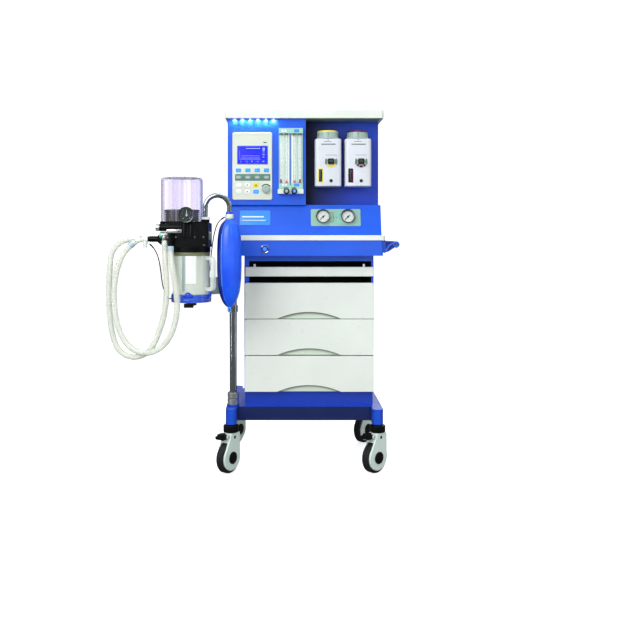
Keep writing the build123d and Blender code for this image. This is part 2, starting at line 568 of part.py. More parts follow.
with BuildPart() as absorber_block:
    block((BLOCK_LEFT, BLOCK_RIGHT), (BLOCK_FRONT, BLOCK_BACK), (BLOCK_BOTTOM, BLOCK_TOP))
    fillet(absorber_block.edges().filter_by(Axis.Z), 6)
    rod((*CANISTER, BLOCK_FLANGE), (0, 0, 1), CANISTER_R + 3, BLOCK_BOTTOM - BLOCK_FLANGE)
    rod((*DOME, 985), (0, 0, 1), DOME_R + 2, BLOCK_TOP - 985)
    rod((BAG_PORT_X, CANISTER[1], 921), (0, 0, 1), BAG_PORT_R, BAG_PORT_TOP - 921)
    rod(TURRET, (-1, 0, 0), TURRET_R, TURRET_LENGTH)
    rod((-533.5, TURRET[1], TURRET[2]), (0, 0, 1), 7, 22)
    rod((BLOCK_LEFT + 10, PORT_A[1], 950), (-1, 0, 0), 13, 34)
    rod((PORT_A[0], PORT_A[1], PORT_A[2]), (0, 0, 1), 12.5, 20)
    rod((BLOCK_LEFT, PLUG_Y, PLUG_Z), (-1, 0, 0), 5, 29)
    with Locations(Plane((-551.4, PLUG_Y, PLUG_Z), z_dir=(1, 0, 0))):
        Cone(14, 23, 12, align=BASE)
    rod((-539.4, PLUG_Y, PLUG_Z), (-1, 0, 0), 9.5, -539.4 - PLUG_TIP_X)
    for step in range(4):
        rod((-554 - step * 8, PLUG_Y, PLUG_Z), (-1, 0, 0), 11.5, 4.5)
    rod((PORT_B[0], PORT_B[1], PORT_B[2]), (0, 0, 1), 10, 46)
    rod((PORT_B[0], PORT_B[1], 934), (0, 0, 1), 12, 6)
    rod((PORT_B[0], PORT_B[1], 947), (0, 1, 0), 10, 20)
    rod(
        (TURRET[0] - TURRET_LENGTH, TURRET[1], TURRET[2]), (1, 0, 0), APL_SHAFT_R + RUN, 16, Mode.SUBTRACT
    )
save(absorber_block, "absorber_block")

with BuildPart() as apl_knob:
    rod((TURRET[0] - TURRET_LENGTH - GAP, TURRET[1], TURRET[2]), (-1, 0, 0), 12.5, 14)
    fillet(apl_knob.edges().group_by(Axis.X)[0], 2)
    rod((TURRET[0] - TURRET_LENGTH + 14, TURRET[1], TURRET[2]), (-1, 0, 0), APL_SHAFT_R, 17)
save(apl_knob, "apl_knob")

MANOMETER_FACE = Plane((-443.3, BLOCK_FRONT + 4, BLOCK_TOP + GAUGE_R), x_dir=(1, 0, 0), z_dir=(0, -1, 0))
with BuildPart() as manometer:
    gauge_case(MANOMETER_FACE, 28)
save(manometer, "manometer")
needle(MANOMETER_FACE, "manometer_needle", turn=90)

# ---- bellows and dome -----------------------------------------------------------------------------------

BELLOWS_R, BELLOWS_DISC_Z, FOLDS = 70.0, 1043.0, 5
FOLD_STEP = (BELLOWS_DISC_Z - BLOCK_TOP - 1) / FOLDS

with BuildPart() as bellows_dome:
    rod((*DOME, BLOCK_TOP), (0, 0, 1), DOME_R, DOME_TOP - BLOCK_TOP)
    fillet(bellows_dome.edges().group_by(Axis.Z)[-1], DOME_EDGE)
    rod((*DOME, BLOCK_TOP), (0, 0, 1), DOME_R - DOME_WALL, DOME_TOP - DOME_EDGE - BLOCK_TOP, Mode.SUBTRACT)
    rod(
        (*DOME, DOME_TOP - DOME_EDGE),
        (0, 0, 1),
        DOME_R - DOME_WALL - DOME_EDGE / 2,
        DOME_EDGE - DOME_WALL,
        Mode.SUBTRACT,
    )
save(bellows_dome, "bellows_dome")

with BuildPart() as bellows:
    for fold in range(FOLDS):
        with Locations((*DOME, BLOCK_TOP + 1 + fold * FOLD_STEP)):
            Cone(BELLOWS_R - 10, BELLOWS_R, FOLD_STEP / 2, align=BASE)
        with Locations((*DOME, BLOCK_TOP + 1 + (fold + 0.5) * FOLD_STEP)):
            Cone(BELLOWS_R, BELLOWS_R - 10, FOLD_STEP / 2, align=BASE)
    rod((*DOME, BELLOWS_DISC_Z), (0, 0, 1), BELLOWS_R - 2, 6)
save(bellows, "bellows")

# ---- canister, its lift cup and lever ----------------------------------------------------------------------

HANDLE_TURN = -30
CUP_BOTTOM, CUP_TOP, CUP_R = 699.0, 728.5, 75.0
LIFT_GAP = 0.3

with BuildPart() as canister:
    rod((*CANISTER, CANISTER_BOTTOM), (0, 0, 1), CANISTER_R, BLOCK_FLANGE - LIFT_GAP - CANISTER_BOTTOM)
    grip_out = Vector(cos(radians(HANDLE_TURN)), sin(radians(HANDLE_TURN)), 0)
    grip = Plane((*CANISTER, 0), x_dir=grip_out, z_dir=grip_out.cross(Vector(0, 0, 1)))
    with BuildSketch(grip):
        with Locations((86, 807)):
            RectangleRounded(44, 130, 16)
        with Locations((79, 807)):
            RectangleRounded(30, 102, 8, mode=Mode.SUBTRACT)
    extrude(amount=8, both=True)
    block_inside = BLOCK_FLANGE - CANISTER_BOTTOM
    rod((*CANISTER, CANISTER_BOTTOM + 4), (0, 0, 1), CANISTER_R - CANISTER_WALL, block_inside, Mode.SUBTRACT)
save(canister, "canister")

with BuildPart() as clamp_cup:
    rod((*CANISTER, CUP_BOTTOM), (0, 0, 1), CUP_R, CUP_TOP - CUP_BOTTOM)
    rod((*CANISTER, CANISTER_BOTTOM), (0, 0, 1), CANISTER_R + 0.5, 40, Mode.SUBTRACT)
    block((-446, -421), (-350, BLOCK_BACK - 0.5), (CUP_BOTTOM, CUP_BOTTOM + 24))
    rod((CANISTER[0], CANISTER[1], CUP_BOTTOM), (0, 0, -1), 6, 14)
    rod((CANISTER[0], CANISTER[1], CUP_BOTTOM - 14), (0, 0, -1), 11, 3)
save(clamp_cup, "clamp_cup")

with BuildPart() as lift_lever:
    rod((*CANISTER, CUP_BOTTOM - 13.5), (0, 0, 1), 20, 13)
    block(spans(CANISTER[0], 22), (CANISTER[1] - 82, CANISTER[1]), (CUP_BOTTOM - 13.5, CUP_BOTTOM - 3))
    block(spans(CANISTER[0], 34), (CANISTER[1] - 88, CANISTER[1] - 74), (CUP_BOTTOM - 16, CUP_BOTTOM - 1))
    rod((*CANISTER, CUP_BOTTOM - 20), (0, 0, 1), 6 + RUN, 30, Mode.SUBTRACT)
save(lift_lever, "lift_lever")

# ---- bag pipe and breathing bag ---------------------------------------------------------------------------

COLLAR_TOP = 1031.7

with BuildPart() as bag_pipe:
    with BuildLine() as pipe_path:
        rise = Line((BAG_PORT_X, CANISTER[1], BAG_PORT_TOP), (BAG_PORT_X, CANISTER[1], PIPE_ARCH))
        arch_top = ((BAG_PORT_X + BAG_X) / 2, CANISTER[1], PIPE_ARCH + (BAG_X - BAG_PORT_X) / 2)
        arch = ThreePointArc(rise @ 1, arch_top, (BAG_X, CANISTER[1], PIPE_ARCH))
        drop = Line(arch @ 1, (BAG_X, CANISTER[1], COLLAR_TOP))
    with BuildSketch(Plane(rise @ 0, z_dir=(0, 0, 1))):
        Circle(PIPE_R)
        Circle(PIPE_R - PIPE_WALL, mode=Mode.SUBTRACT)
    sweep(path=pipe_path.line)
    with BuildSketch(Plane.XY.offset(BAG_PORT_TOP)):
        with Locations((BAG_PORT_X, CANISTER[1])):
            Circle(17)
            Circle(PIPE_R, mode=Mode.SUBTRACT)
    extrude(amount=10)
    with BuildSketch(Plane.XY.offset(BAG_TOP)):
        with Locations((BAG_X, CANISTER[1])):
            Circle(15)
            Circle(PIPE_R - PIPE_WALL, mode=Mode.SUBTRACT)
    extrude(amount=COLLAR_TOP - BAG_TOP)
    with BuildSketch(Plane.XY.offset(COLLAR_TOP)):
        with Locations((BAG_X, CANISTER[1])):
            Circle(13)
            Circle(PIPE_R, mode=Mode.SUBTRACT)
    extrude(amount=8)
    rod(LINE_END, LINE_IN, 2.5, 7)
save(bag_pipe, "bag_pipe")

BAG_SECTIONS = (  # height, half width, half depth
    (BAG_TOP, 12, 12),
    (1002, 30, 24),
    (960, 46, 38),
    (850, 48, 42),
    (745, 43, 37),
    (694, 25, 20),
    (BAG_BOTTOM, 10, 7),
)
with BuildPart() as breathing_bag:
    for height, half_width, half_depth in BAG_SECTIONS:
        with BuildSketch(Plane.XY.offset(height)):
            with Locations((BAG_X, CANISTER[1])):
                Ellipse(half_width, half_depth)
    loft()
save(breathing_bag, "breathing_bag")

# ---- Y-piece parked on the test plug ------------------------------------------------------------------------

ELBOW_X, LIMB_START = -599.5, -614.0
SOCKET_LENGTH, PLAY = 8.0, 0.3

with BuildPart() as y_piece:
    rod((PLUG_TIP_X, PLUG_Y, PLUG_Z), (-1, 0, 0), 10.5, PLUG_TIP_X - LIMB_START)
    with Locations(Plane((ELBOW_X, PLUG_Y, PLUG_Z), z_dir=(0, 0, -1))):
        Cone(9.5, 7, 34, align=BASE)
    for end, outward in ((END_A, (-1, 0, 0)), (END_B, (-0.8, 0, -0.6))):
        socket = Vector(end) - Vector(outward) * SOCKET_LENGTH
        hub = Vector(LIMB_START + 6, PLUG_Y, PLUG_Z)
        rod(hub, socket - hub, 9, (socket - hub).length)
        rod(socket, outward, HOSE_R, SOCKET_LENGTH - PLAY)
    rod(LINE_START - LINE_OUT * SOCKET_LENGTH, LINE_OUT, 2.5, SOCKET_LENGTH - PLAY)
save(y_piece, "y_piece")

# ---- hoses and the sampling line ------------------------------------------------------------------------------

HOSE_A = [  # expiratory: port elbow, down beside the canister, out in the wide loop, back to the Y-piece
    PORT_A,
    (-526, -478, 872),
    (-518, -482, 785),
    (-519, -480, 713),
    (-530, -474, 645),
    (-550, -467, 585),
    (-573, -462, 532),
    (-603, -459, 502),
    (-643, -457, 491),
    (-683, -455, 502),
    (-713, -454, 532),
    (-732, -453, 602),
    (-739, -452, 690),
    (-739, -452, 764),
    (-736, -452, 828),
    (-732, -453, 880),
    (-711, -454, 915),
    (-675.5, -454, 936.5),
    END_A,
]
HOSE_B = [  # inspiratory: down in front of the canister, out in the narrow loop, back to the Y-piece
    PORT_B,
    (-501, -497, 872),
    (-488, -509, 800),
    (-476, -514, 731),
    (-474, -514, 680),
    (-481, -512, 632),
    (-498, -509, 580),
    (-530, -505, 537),
    (-575, -502, 514),
    (-622, -499, 517),
    (-664, -496, 545),
    (-695, -493, 600),
    (-710, -491, 668),
    (-713, -490, 740),
    (-707, -488, 806),
    (-690, -487, 862),
    (-664, -486, 904),
    END_B,
]
LINE = [  # from the Y-piece's side port, behind the canister, up to the bag collar
    tuple(LINE_START),
    (-567, -470, 905),
    (-550, -466, 866),
    (-542, -464, 815),
    (-537, -460, 762),
    (-524, -448, 722),
    (-521, -412, 706),
    (-503, -368, 716),
    (-465, -341, 734),
    (-420, -338, 752),
    (-382, -349, 779),
    (-366, -368, 822),
    (-362, -389, 868),
    (-355, -402, 915),
    (-348, -410, 955),
    (-338, -416, 990),
    (-322, -420, 1012),
    tuple(LINE_END),
]


def tube(name, points, radius, least):
    """A cord's solid: straight runs joined by tangent arcs, each as large as its two runs allow."""
    corners = [Vector(p) for p in points]
    runs = [b - a for a, b in zip(corners, corners[1:])]
    radii = []
    for before, after in zip(runs, runs[1:]):
        half_turn = radians(before.get_angle(after)) / 2
        radii.append(0.45 * min(before.length, after.length) / tan(half_turn))
    with BuildPart() as cord:
        with BuildLine() as route:
            FilletPolyline(*points, radius=radii)
        with BuildSketch(Plane(corners[0], z_dir=runs[0])):
            Circle(radius)
        sweep(path=route.line)
    length = route.wires()[0].length
    share = cord.part.volume / (pi * radius**2 * length)
    print(f"{name}: {length:.0f} mm long, volume share {share:.4f}, radii {[round(r) for r in radii]}")
    if min(radii) < least * 2 * radius:
        print(f"{name}: its tightest radius is under {least} diameters")
    save(cord, name)


tube("hose_expiratory", HOSE_A, HOSE_R, 3)
tube("hose_inspiratory", HOSE_B, HOSE_R, 3)
tube("sampling_line", LINE, LINE_R, 3)
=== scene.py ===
"""Looks of the anesthesia machine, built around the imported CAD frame.

Row frame, metres, the front faces -Y.  Machine coordinates are the row frame shifted by ORIGIN: their
X = Y = 0 is the centre of the caster base.  Faces and details are laid out in millimetres on local frames.
"""

import math
import random

import bpy
import bmesh
from mathutils import Matrix, Vector, noise


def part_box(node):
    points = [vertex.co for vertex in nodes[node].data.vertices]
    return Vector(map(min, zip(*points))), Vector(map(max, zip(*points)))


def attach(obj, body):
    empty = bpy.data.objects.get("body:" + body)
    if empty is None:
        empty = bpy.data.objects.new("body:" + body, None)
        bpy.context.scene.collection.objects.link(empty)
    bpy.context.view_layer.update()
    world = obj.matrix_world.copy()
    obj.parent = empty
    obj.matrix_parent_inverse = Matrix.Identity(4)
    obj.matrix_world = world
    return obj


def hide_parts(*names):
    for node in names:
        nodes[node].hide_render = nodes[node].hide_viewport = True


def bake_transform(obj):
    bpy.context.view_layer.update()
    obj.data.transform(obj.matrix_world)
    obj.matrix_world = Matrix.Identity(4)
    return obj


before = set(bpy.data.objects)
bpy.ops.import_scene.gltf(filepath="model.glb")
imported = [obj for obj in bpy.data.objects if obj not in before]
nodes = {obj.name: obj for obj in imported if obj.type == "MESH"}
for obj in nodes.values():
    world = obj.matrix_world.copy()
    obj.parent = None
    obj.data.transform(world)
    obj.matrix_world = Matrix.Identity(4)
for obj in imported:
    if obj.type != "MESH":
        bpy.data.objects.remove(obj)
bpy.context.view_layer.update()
random.seed(7)

MM = 0.001
ORIGIN = Vector((-0.13305, -0.11351, 0.0))  # machine coordinates of the row's origin

# ---- camera ----------------------------------------------------------------------------------

CAMERA_AT = (-0.070, -3.460, 0.950)  # machine coordinates


def at(x, y, z):
    """A point in machine millimetres, in the row frame."""
    return Vector((x, y, z)) * MM - ORIGIN


camera_data = bpy.data.cameras.new("camera")
camera_data.lens = 45.0
camera_data.sensor_width = 36.0
camera_data.shift_x = 0.0516
camera_data.shift_y = -0.132
camera = bpy.data.objects.new("camera", camera_data)
camera.location = Vector(CAMERA_AT) - ORIGIN
camera.rotation_euler = (math.pi / 2, 0.0, 0.0)
bpy.context.scene.collection.objects.link(camera)
bpy.context.scene.camera = camera

# ---- local frames, in millimetres ------------------------------------------------------------

def local(point, turn=0.0, tilt=90.0):
    """Millimetres on a face at a row point: x to its right, y up it and z out of it."""
    spin = Matrix.Rotation(math.radians(turn), 4, "Z") @ Matrix.Rotation(math.radians(tilt), 4, "X")
    return Matrix.Translation(point) @ spin @ Matrix.Scale(MM, 4)


def place(x, y, z, turn=0.0, tilt=90.0):
    """The same at a point in machine millimetres."""
    return local(at(x, y, z), turn, tilt)


def face_of(node, back=False, on=None):
    """Millimetres on the middle of a CAD node's front or back, or there on the front of another node."""
    low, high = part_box(node)
    spot = (low + high) / 2
    spot.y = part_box(on)[0].y if on else (high if back else low).y
    return local(spot, 180 if back else 0)


def shifted(matrix, x=0.0, y=0.0, z=0.0, turn=0.0):
    """A local frame moved within itself, and turned about its own z."""
    return matrix @ Matrix.Translation((x, y, z)) @ Matrix.Rotation(math.radians(turn), 4, "Z")


# ---- mesh shapes: each returns points and faces in local millimetres -------------------------


def ring(radius, z=0.0, steps=48):
    """A circle's points."""
    return [
        (radius * math.cos(math.tau * i / steps), radius * math.sin(math.tau * i / steps), z)
        for i in range(steps)
    ]


def round_rect(width, height, radius, z=0.0, steps=5):
    """A rounded rectangle's points."""
    radius = max(min(radius, width / 2 - 0.01, height / 2 - 0.01), 0.01)
    points = []
    for corner, (sx, sy) in enumerate(((1, 1), (-1, 1), (-1, -1), (1, -1))):
        for i in range(steps + 1):
            angle = math.pi / 2 * (corner + i / steps)
            x = sx * (width / 2 - radius) + radius * math.cos(angle)
            y = sy * (height / 2 - radius) + radius * math.sin(angle)
            points.append((x, y, z))
    return points


def skin(rings, caps=True, closed=False):
    """Rings of equal counts joined by quads, with end caps or closed on themselves."""
    count = len(rings[0])
    points = [p for r in rings for p in r]
    faces = []
    pairs = list(zip(range(len(rings)), range(1, len(rings))))
    if closed:
        pairs.append((len(rings) - 1, 0))
    for a, b in pairs:
        for i in range(count):
            j = (i + 1) % count
            faces.append((a * count + i, a * count + j, b * count + j, b * count + i))
    if caps and not closed:
        faces.append(tuple(reversed(range(count))))
        faces.append(tuple(range((len(rings) - 1) * count, len(rings) * count)))
    return points, faces


def plate(width, height, depth, radius=2.0, edge=0.5):
    """A rounded plate with a softened front edge."""
    edge = min(edge, depth * 0.9)
    rings = [round_rect(width, height, radius), round_rect(width, height, radius, depth - edge)]
    for inset, z in ((0.3, depth - 0.3 * edge), (1.0, depth)):
        shrink = inset * edge
        rings.append(round_rect(width - 2 * shrink, height - 2 * shrink, radius - shrink, z))
    return skin(rings)


def bezel(width, height, depth, rim, radius=3.0):
    """A rounded rectangular frame around an opening."""
    inner = (width - 2 * rim, height - 2 * rim, max(radius - rim, 0.5))
    edge = min(0.5, rim / 4)
    rings = [
        round_rect(width, height, radius),
        round_rect(width, height, radius, depth - edge),
        round_rect(width - 2 * edge, height - 2 * edge, radius - edge, depth),
        round_rect(inner[0] + 2 * edge, inner[1] + 2 * edge, inner[2] + edge, depth),
        round_rect(*inner, depth - edge),
        round_rect(*inner),
    ]
    return skin(rings, closed=True)


def turned(profile, steps=48):
    """A turned solid from (radius, height) pairs."""
    return skin([ring(max(r, 0.02), z, steps) for r, z in profile])


def collar(profile, steps=48):
    """A turned ring from a closed (radius, height) profile."""
    return skin([ring(r, z, steps) for r, z in profile], closed=True)


def arc_band(inner, outer, start, end, depth, steps=24):
    """A flat band along an arc, angles in degrees counterclockwise from local x."""
    sections = []
    for i in range(steps + 1):
        angle = math.radians(start + (end - start) * i / steps)
        c, s = math.cos(angle), math.sin(angle)
        sections.append(
            [
                (inner * c, inner * s, 0), (outer * c, outer * s, 0), (outer * c, outer * s, depth),
                (inner * c, inner * s, depth),
            ]
        )
    return skin(sections)


def stroke(start, end, width, depth):
    """A straight line of that width drawn from point to point."""
    a, b = Vector(start), Vector(end)
    side = Vector((a.y - b.y, b.x - a.x)).normalized() * width / 2
    outline = [a + side, a - side, b - side, b + side]
    return skin([[(*p, 0) for p in outline], [(*p, depth) for p in outline]])


def moved(shape, x=0.0, y=0.0, z=0.0, turn=0.0):
    """A shape shifted and turned in its own frame."""
    matrix = Matrix.Translation((x, y, z)) @ Matrix.Rotation(math.radians(turn), 4, "Z")
    points, faces = shape
    return [tuple(matrix @ Vector(p)) for p in points], faces


def at_each(shape, spots):
    """Copies of a shape at several (x, y, z, turn) spots of its frame."""
    return [moved(shape, *spot) for spot in spots]


def digits(text, size, x=0.0, y=0.0, z=0.0, turn=0.0, depth=0.15):
    """Raised numerals centred on a point."""
    curve = bpy.data.curves.new("digits", "FONT")
    curve.body = text
    curve.size = size
    curve.extrude = depth
    curve.resolution_u = 2
    curve.align_x = "CENTER"
    curve.align_y = "CENTER"
    holder = bpy.data.objects.new("digits", curve)
    mesh = bpy.data.meshes.new_from_object(holder)
    shape = [tuple(v.co) for v in mesh.vertices], [tuple(p.vertices) for p in mesh.polygons]
    bpy.data.objects.remove(holder)
    bpy.data.curves.remove(curve)
    bpy.data.meshes.remove(mesh)
    return moved(shape, x, y, z, turn)


def build(name, body, slot, finish, parts, smooth=35.0):
    """One piece from (frame, shape) parts, riding on a body."""
    points, faces = [], []
    for matrix, (shape_points, shape_faces) in parts:
        start = len(points)
        points += [matrix @ Vector(p) for p in shape_points]
        faces += [tuple(start + i for i in face) for face in shape_faces]
    mesh = bpy.data.meshes.new(name)
    mesh.from_pydata(points, [], faces)
    work = bmesh.new()
    work.from_mesh(mesh)
    bmesh.ops.recalc_face_normals(work, faces=work.faces)
    work.to_mesh(mesh)
    work.free()
    mesh.polygons.foreach_set("use_smooth", [True] * len(mesh.polygons))
    mesh.set_sharp_from_angle(angle=math.radians(smooth))
    mesh.materials.append(finish.material)
    piece = bpy.data.objects.new(name, mesh)
    bpy.context.scene.collection.objects.link(piece)
    if body:
        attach(piece, body)
    return piece


def fixed(name, slot, finish, frame_at, *shapes):
    """A piece that stays with the machine, from shapes on one local frame."""
    return build(name, "root", slot, finish, [(frame_at, shape) for shape in shapes])


def teeth(frame_at, count, radius, z, shape):
    """Parts that repeat a shape in a circle, each turned with it."""
    parts = []
    for k in range(count):
        angle = math.tau * k / count
        spot = shifted(frame_at, radius * math.cos(angle), radius * math.sin(angle), z, math.degrees(angle))
        parts.append((spot, shape))
    return parts


# ---- materials -------------------------------------------------------------------------------


PULL_RISE, PULL_RADIUS = 28.0, 320.4  # height and radius of a drawer pull's arch, mm
RUNNER_TOP = 253.0  # machine height of the base frame's top face, mm


class Finish:
    """A procedural material: a Principled shader with varied colour, varied roughness and fine relief."""

    def __init__(self, name):
        self.material = bpy.data.materials.new(name)
        self.material.use_nodes = True
        self.tree = self.material.node_tree
        self.shader = self.tree.nodes["Principled BSDF"]
        self.output = self.tree.nodes["Material Output"]
        self.where = self.add("TexCoord").outputs["Object"]

    def add(self, kind, settings=None, **inputs):
        """A new shader node, with its settings and inputs."""
        made = self.tree.nodes.new("ShaderNode" + kind)
        for key, value in (settings or {}).items():
            setattr(made, key, value)
        for key, value in inputs.items():
            self.feed(made.inputs[key.replace("_", " ")], value)
        return made

    def feed(self, socket, value):
        """Links an output to a socket, or gives the socket a value."""
        if isinstance(value, bpy.types.NodeSocket):
            self.tree.links.new(value, socket)
        else:
            socket.default_value = value

    def set(self, **inputs):
        for key, value in inputs.items():
            self.feed(self.shader.inputs[key.replace("_", " ")], value)

    def stretched(self, x=1.0, y=1.0, z=1.0):
        return self.add("Mapping", Vector=self.where, Scale=(x, y, z)).outputs[0]

    def noise(self, scale, detail=3.0, vector=None):
        made = self.add("TexNoise", Vector=vector or self.where, Scale=scale, Detail=detail)
        return made.outputs[0]

    def ranged(self, value, low, high, start=0.3, stop=0.7):
        """A value between start and stop, carried over to low to high."""
        made = self.add("MapRange", Value=value)
        for key, number in (("From Min", start), ("From Max", stop), ("To Min", low), ("To Max", high)):
            made.inputs[key].default_value = number
        return made.outputs[0]

    def math(self, operation, a, b=0.0):
        made = self.add("Math", {"operation": operation})
        self.feed(made.inputs[0], a)
        self.feed(made.inputs[1], b)
        return made.outputs[0]

    def blend(self, factor, a, b):
        made = self.add("Mix", {"data_type": "RGBA"})
        for index, value in ((0, factor), (6, a), (7, b)):
            self.feed(made.inputs[index], value)
        return made.outputs[2]

    def relief(self, height, strength, distance=0.0005):
        made = self.add("Bump", Height=height, Strength=strength, Distance=distance)
        self.set(Normal=made.outputs[0])

    def see_through(self, amount, through):
        """Mixes a transparent shader with the principled one, by the principled one's amount."""
        mixed = self.add("MixShader")
        for index, value in ((0, amount), (1, through), (2, self.shader.outputs[0])):
            self.feed(mixed.inputs[index], value)
        self.feed(self.output.inputs[0], mixed.outputs[0])

    def between(self, axis, low, high):
        """1 where the object coordinate of an axis is between two values, else 0."""
        coordinate = self.add("SeparateXYZ", Vector=self.where).outputs[axis]
        above = self.math("GREATER_THAN", coordinate, low)
        return self.math("MULTIPLY", above, self.math("LESS_THAN", coordinate, high))


def colour(red, green, blue):
    """A colour given as 0-255 display values."""
    return tuple(
        (v / 255 / 12.92 if v < 11 else ((v / 255 + 0.055) / 1.055) ** 2.4)
        for v in (red, green, blue)
    ) + (1.0,)


def mottled(made, base, spread=0.08, patch=7.0):
    """The base colour, a little lighter and darker in soft patches."""
    dark = tuple(c * (1 - spread) for c in base[:3]) + (1.0,)
    light = tuple(min(1.0, c * (1 + spread)) for c in base[:3]) + (1.0,)
    return made.blend(made.ranged(made.noise(patch), 0.0, 1.0), dark, light)


def painted(name, base, rough=0.38, peel=0.10, coat=0.12):
    """Powder coat: fine orange peel, faint patches, a thin glossy coat."""
    made = Finish(name)
    made.set(Base_Color=mottled(made, base, 0.05), Coat_Weight=coat, Coat_Roughness=0.12)
    made.set(Roughness=made.ranged(made.noise(22.0), rough - 0.05, rough + 0.07))
    made.relief(made.noise(1100.0, 2.0), peel, 0.0004)
    return made


def plastic(name, base, rough=0.38, grain=1500.0, relief=0.06, spread=0.04, coat=0.0):
    """Moulded plastic: fine grain and slightly uneven gloss."""
    made = Finish(name)
    made.set(Base_Color=mottled(made, base, spread, 11.0), Coat_Weight=coat)
    made.set(Roughness=made.ranged(made.noise(35.0), rough - 0.06, rough + 0.08))
    made.relief(made.noise(grain, 3.0), relief, 0.0003)
    return made


def metal(name, base, rough=0.14, brushed=None, relief=0.03):
    """Polished or brushed metal, with faint smears; brushed gives the stretch along X, Y and Z."""
    made = Finish(name)
    fine = made.noise(260.0, 4.0, made.stretched(*(brushed or (1, 1, 1))))
    made.set(Base_Color=mottled(made, base, 0.05), Metallic=1.0)
    made.set(Roughness=made.ranged(made.noise(30.0), rough - 0.04, rough + 0.08))
    made.relief(fine, relief, 0.0002)
    return made


def clear(name, tint, body_colour, face_on=0.12, edge_on=0.7, rough=0.06, streak=0.0):
    """A thin clear wall: mostly see-through face on, denser at its edges."""
    made = Finish(name)
    made.set(Base_Color=mottled(made, body_colour, 0.06), Roughness=rough, Coat_Weight=0.5)
    made.relief(made.noise(40.0, 2.0), 0.05, 0.002)
    through = made.add("BsdfTransparent", Color=tint).outputs[0]
    facing = made.add("LayerWeight", Blend=0.35).outputs["Facing"]
    amount = made.ranged(facing, face_on, edge_on, 0.0, 1.0)
    if streak:
        bands = made.noise(34.0, 2.0, made.stretched(1.0, 1.0, 0.02))
        amount = made.math("ADD", amount, made.ranged(bands, 0.0, streak, 0.45, 0.65))
    made.see_through(amount, through)
    return made


BLUE = colour(10, 88, 224)
WHITE = colour(228, 235, 228)

blue_paint = painted("blue_powder_coat", BLUE)
white_plastic = plastic("white_moulding", WHITE, 0.32)
fork_white = plastic("fork_cover_white", colour(216, 234, 226), 0.34, coat=0.2)
cream_plastic = plastic("cream_panel", colour(214, 222, 208), 0.42)
white_paint = painted("white_enamel", colour(216, 222, 230), 0.3, 0.05, 0.3)
grey_paint = painted("grey_arm_paint", colour(150, 172, 176), 0.35, 0.08)
mint_grey = plastic("mint_grey_moulding", colour(160, 210, 196), 0.4)
dial_grey = plastic("dial_grey", colour(158, 182, 176), 0.36)
knob_grey = plastic("knob_grey_green", colour(150, 176, 166), 0.34)
slate = plastic("slate_strip", colour(84, 124, 116), 0.45)
key_grey = plastic("key_grey", colour(146, 168, 162), 0.4)
key_blue = plastic("key_blue", colour(52, 152, 255), 0.3, coat=0.3)
key_white = plastic("key_white", colour(242, 245, 240), 0.35)
key_yellow = plastic("key_yellow", colour(226, 222, 24), 0.32, coat=0.2)
light_blue = plastic("light_blue_label", colour(60, 150, 255), 0.3)
ink = plastic("black_ink", colour(16, 18, 20), 0.5)
grey_ink = plastic("grey_ink", colour(120, 138, 142), 0.5)
white_ink = plastic("white_ink", colour(240, 248, 255), 0.4)
cyan_ink = plastic("cyan_ink", colour(60, 235, 235), 0.4)
blue_ink = plastic("blue_ink", colour(30, 70, 200), 0.4)
black_plastic = plastic("black_moulding", colour(7, 9, 9), 0.4, 900.0, 0.10)
black_plastic.set(Specular_IOR_Level=0.2)
black_satin = plastic("black_satin_block", colour(5, 7, 8), 0.34, 700.0, 0.08)
black_satin.set(Specular_IOR_Level=0.2)
blue_plastic = plastic("blue_gloss_moulding", colour(22, 66, 214), 0.22, coat=0.5)
cup_blue = plastic("clamp_cup_blue", colour(52, 92, 214), 0.2, coat=0.4)
yellow = plastic("yellow_code", colour(236, 224, 60), 0.3, coat=0.3)
maroon = plastic("maroon_code", colour(96, 12, 62), 0.3, coat=0.3)
red = plastic("red_code", colour(208, 40, 60), 0.3)
green = plastic("green_code", colour(70, 170, 60), 0.3)
mint = plastic("mint_ring", colour(96, 226, 178), 0.25, coat=0.4)
olive = plastic("olive_gasket", colour(112, 116, 84), 0.4, 600.0, 0.2)
silver = metal("satin_silver", colour(226, 231, 231), 0.32)
chrome = metal("chrome_plate", colour(214, 218, 222), 0.07)
bright_chrome = metal("bright_chrome", colour(186, 196, 200), 0.07)
smoked_rim = metal("smoked_rim", colour(96, 104, 104), 0.3)
steel = metal("brushed_steel", colour(176, 182, 186), 0.3, (1, 1, 0.03), 0.08)
bar_ink = plastic("bar_ink_grey", colour(104, 120, 122), 0.5)
dial_white = plastic("dial_card", colour(238, 242, 238), 0.55)
dial_black = plastic("dial_black_card", colour(14, 16, 18), 0.5)

lens = clear("gauge_lens", (0.98, 0.99, 0.99, 1), colour(220, 232, 236), 0.02, 0.3, 0.1)
tube_glass = clear("meter_glass", (0.985, 0.995, 0.99, 1), colour(214, 230, 226), 0.02, 0.34, 0.05)
canister_clear = clear("canister_polymer", (0.985, 0.99, 0.975, 1), colour(240, 248, 240), 0.42, 1.0, 0.2)


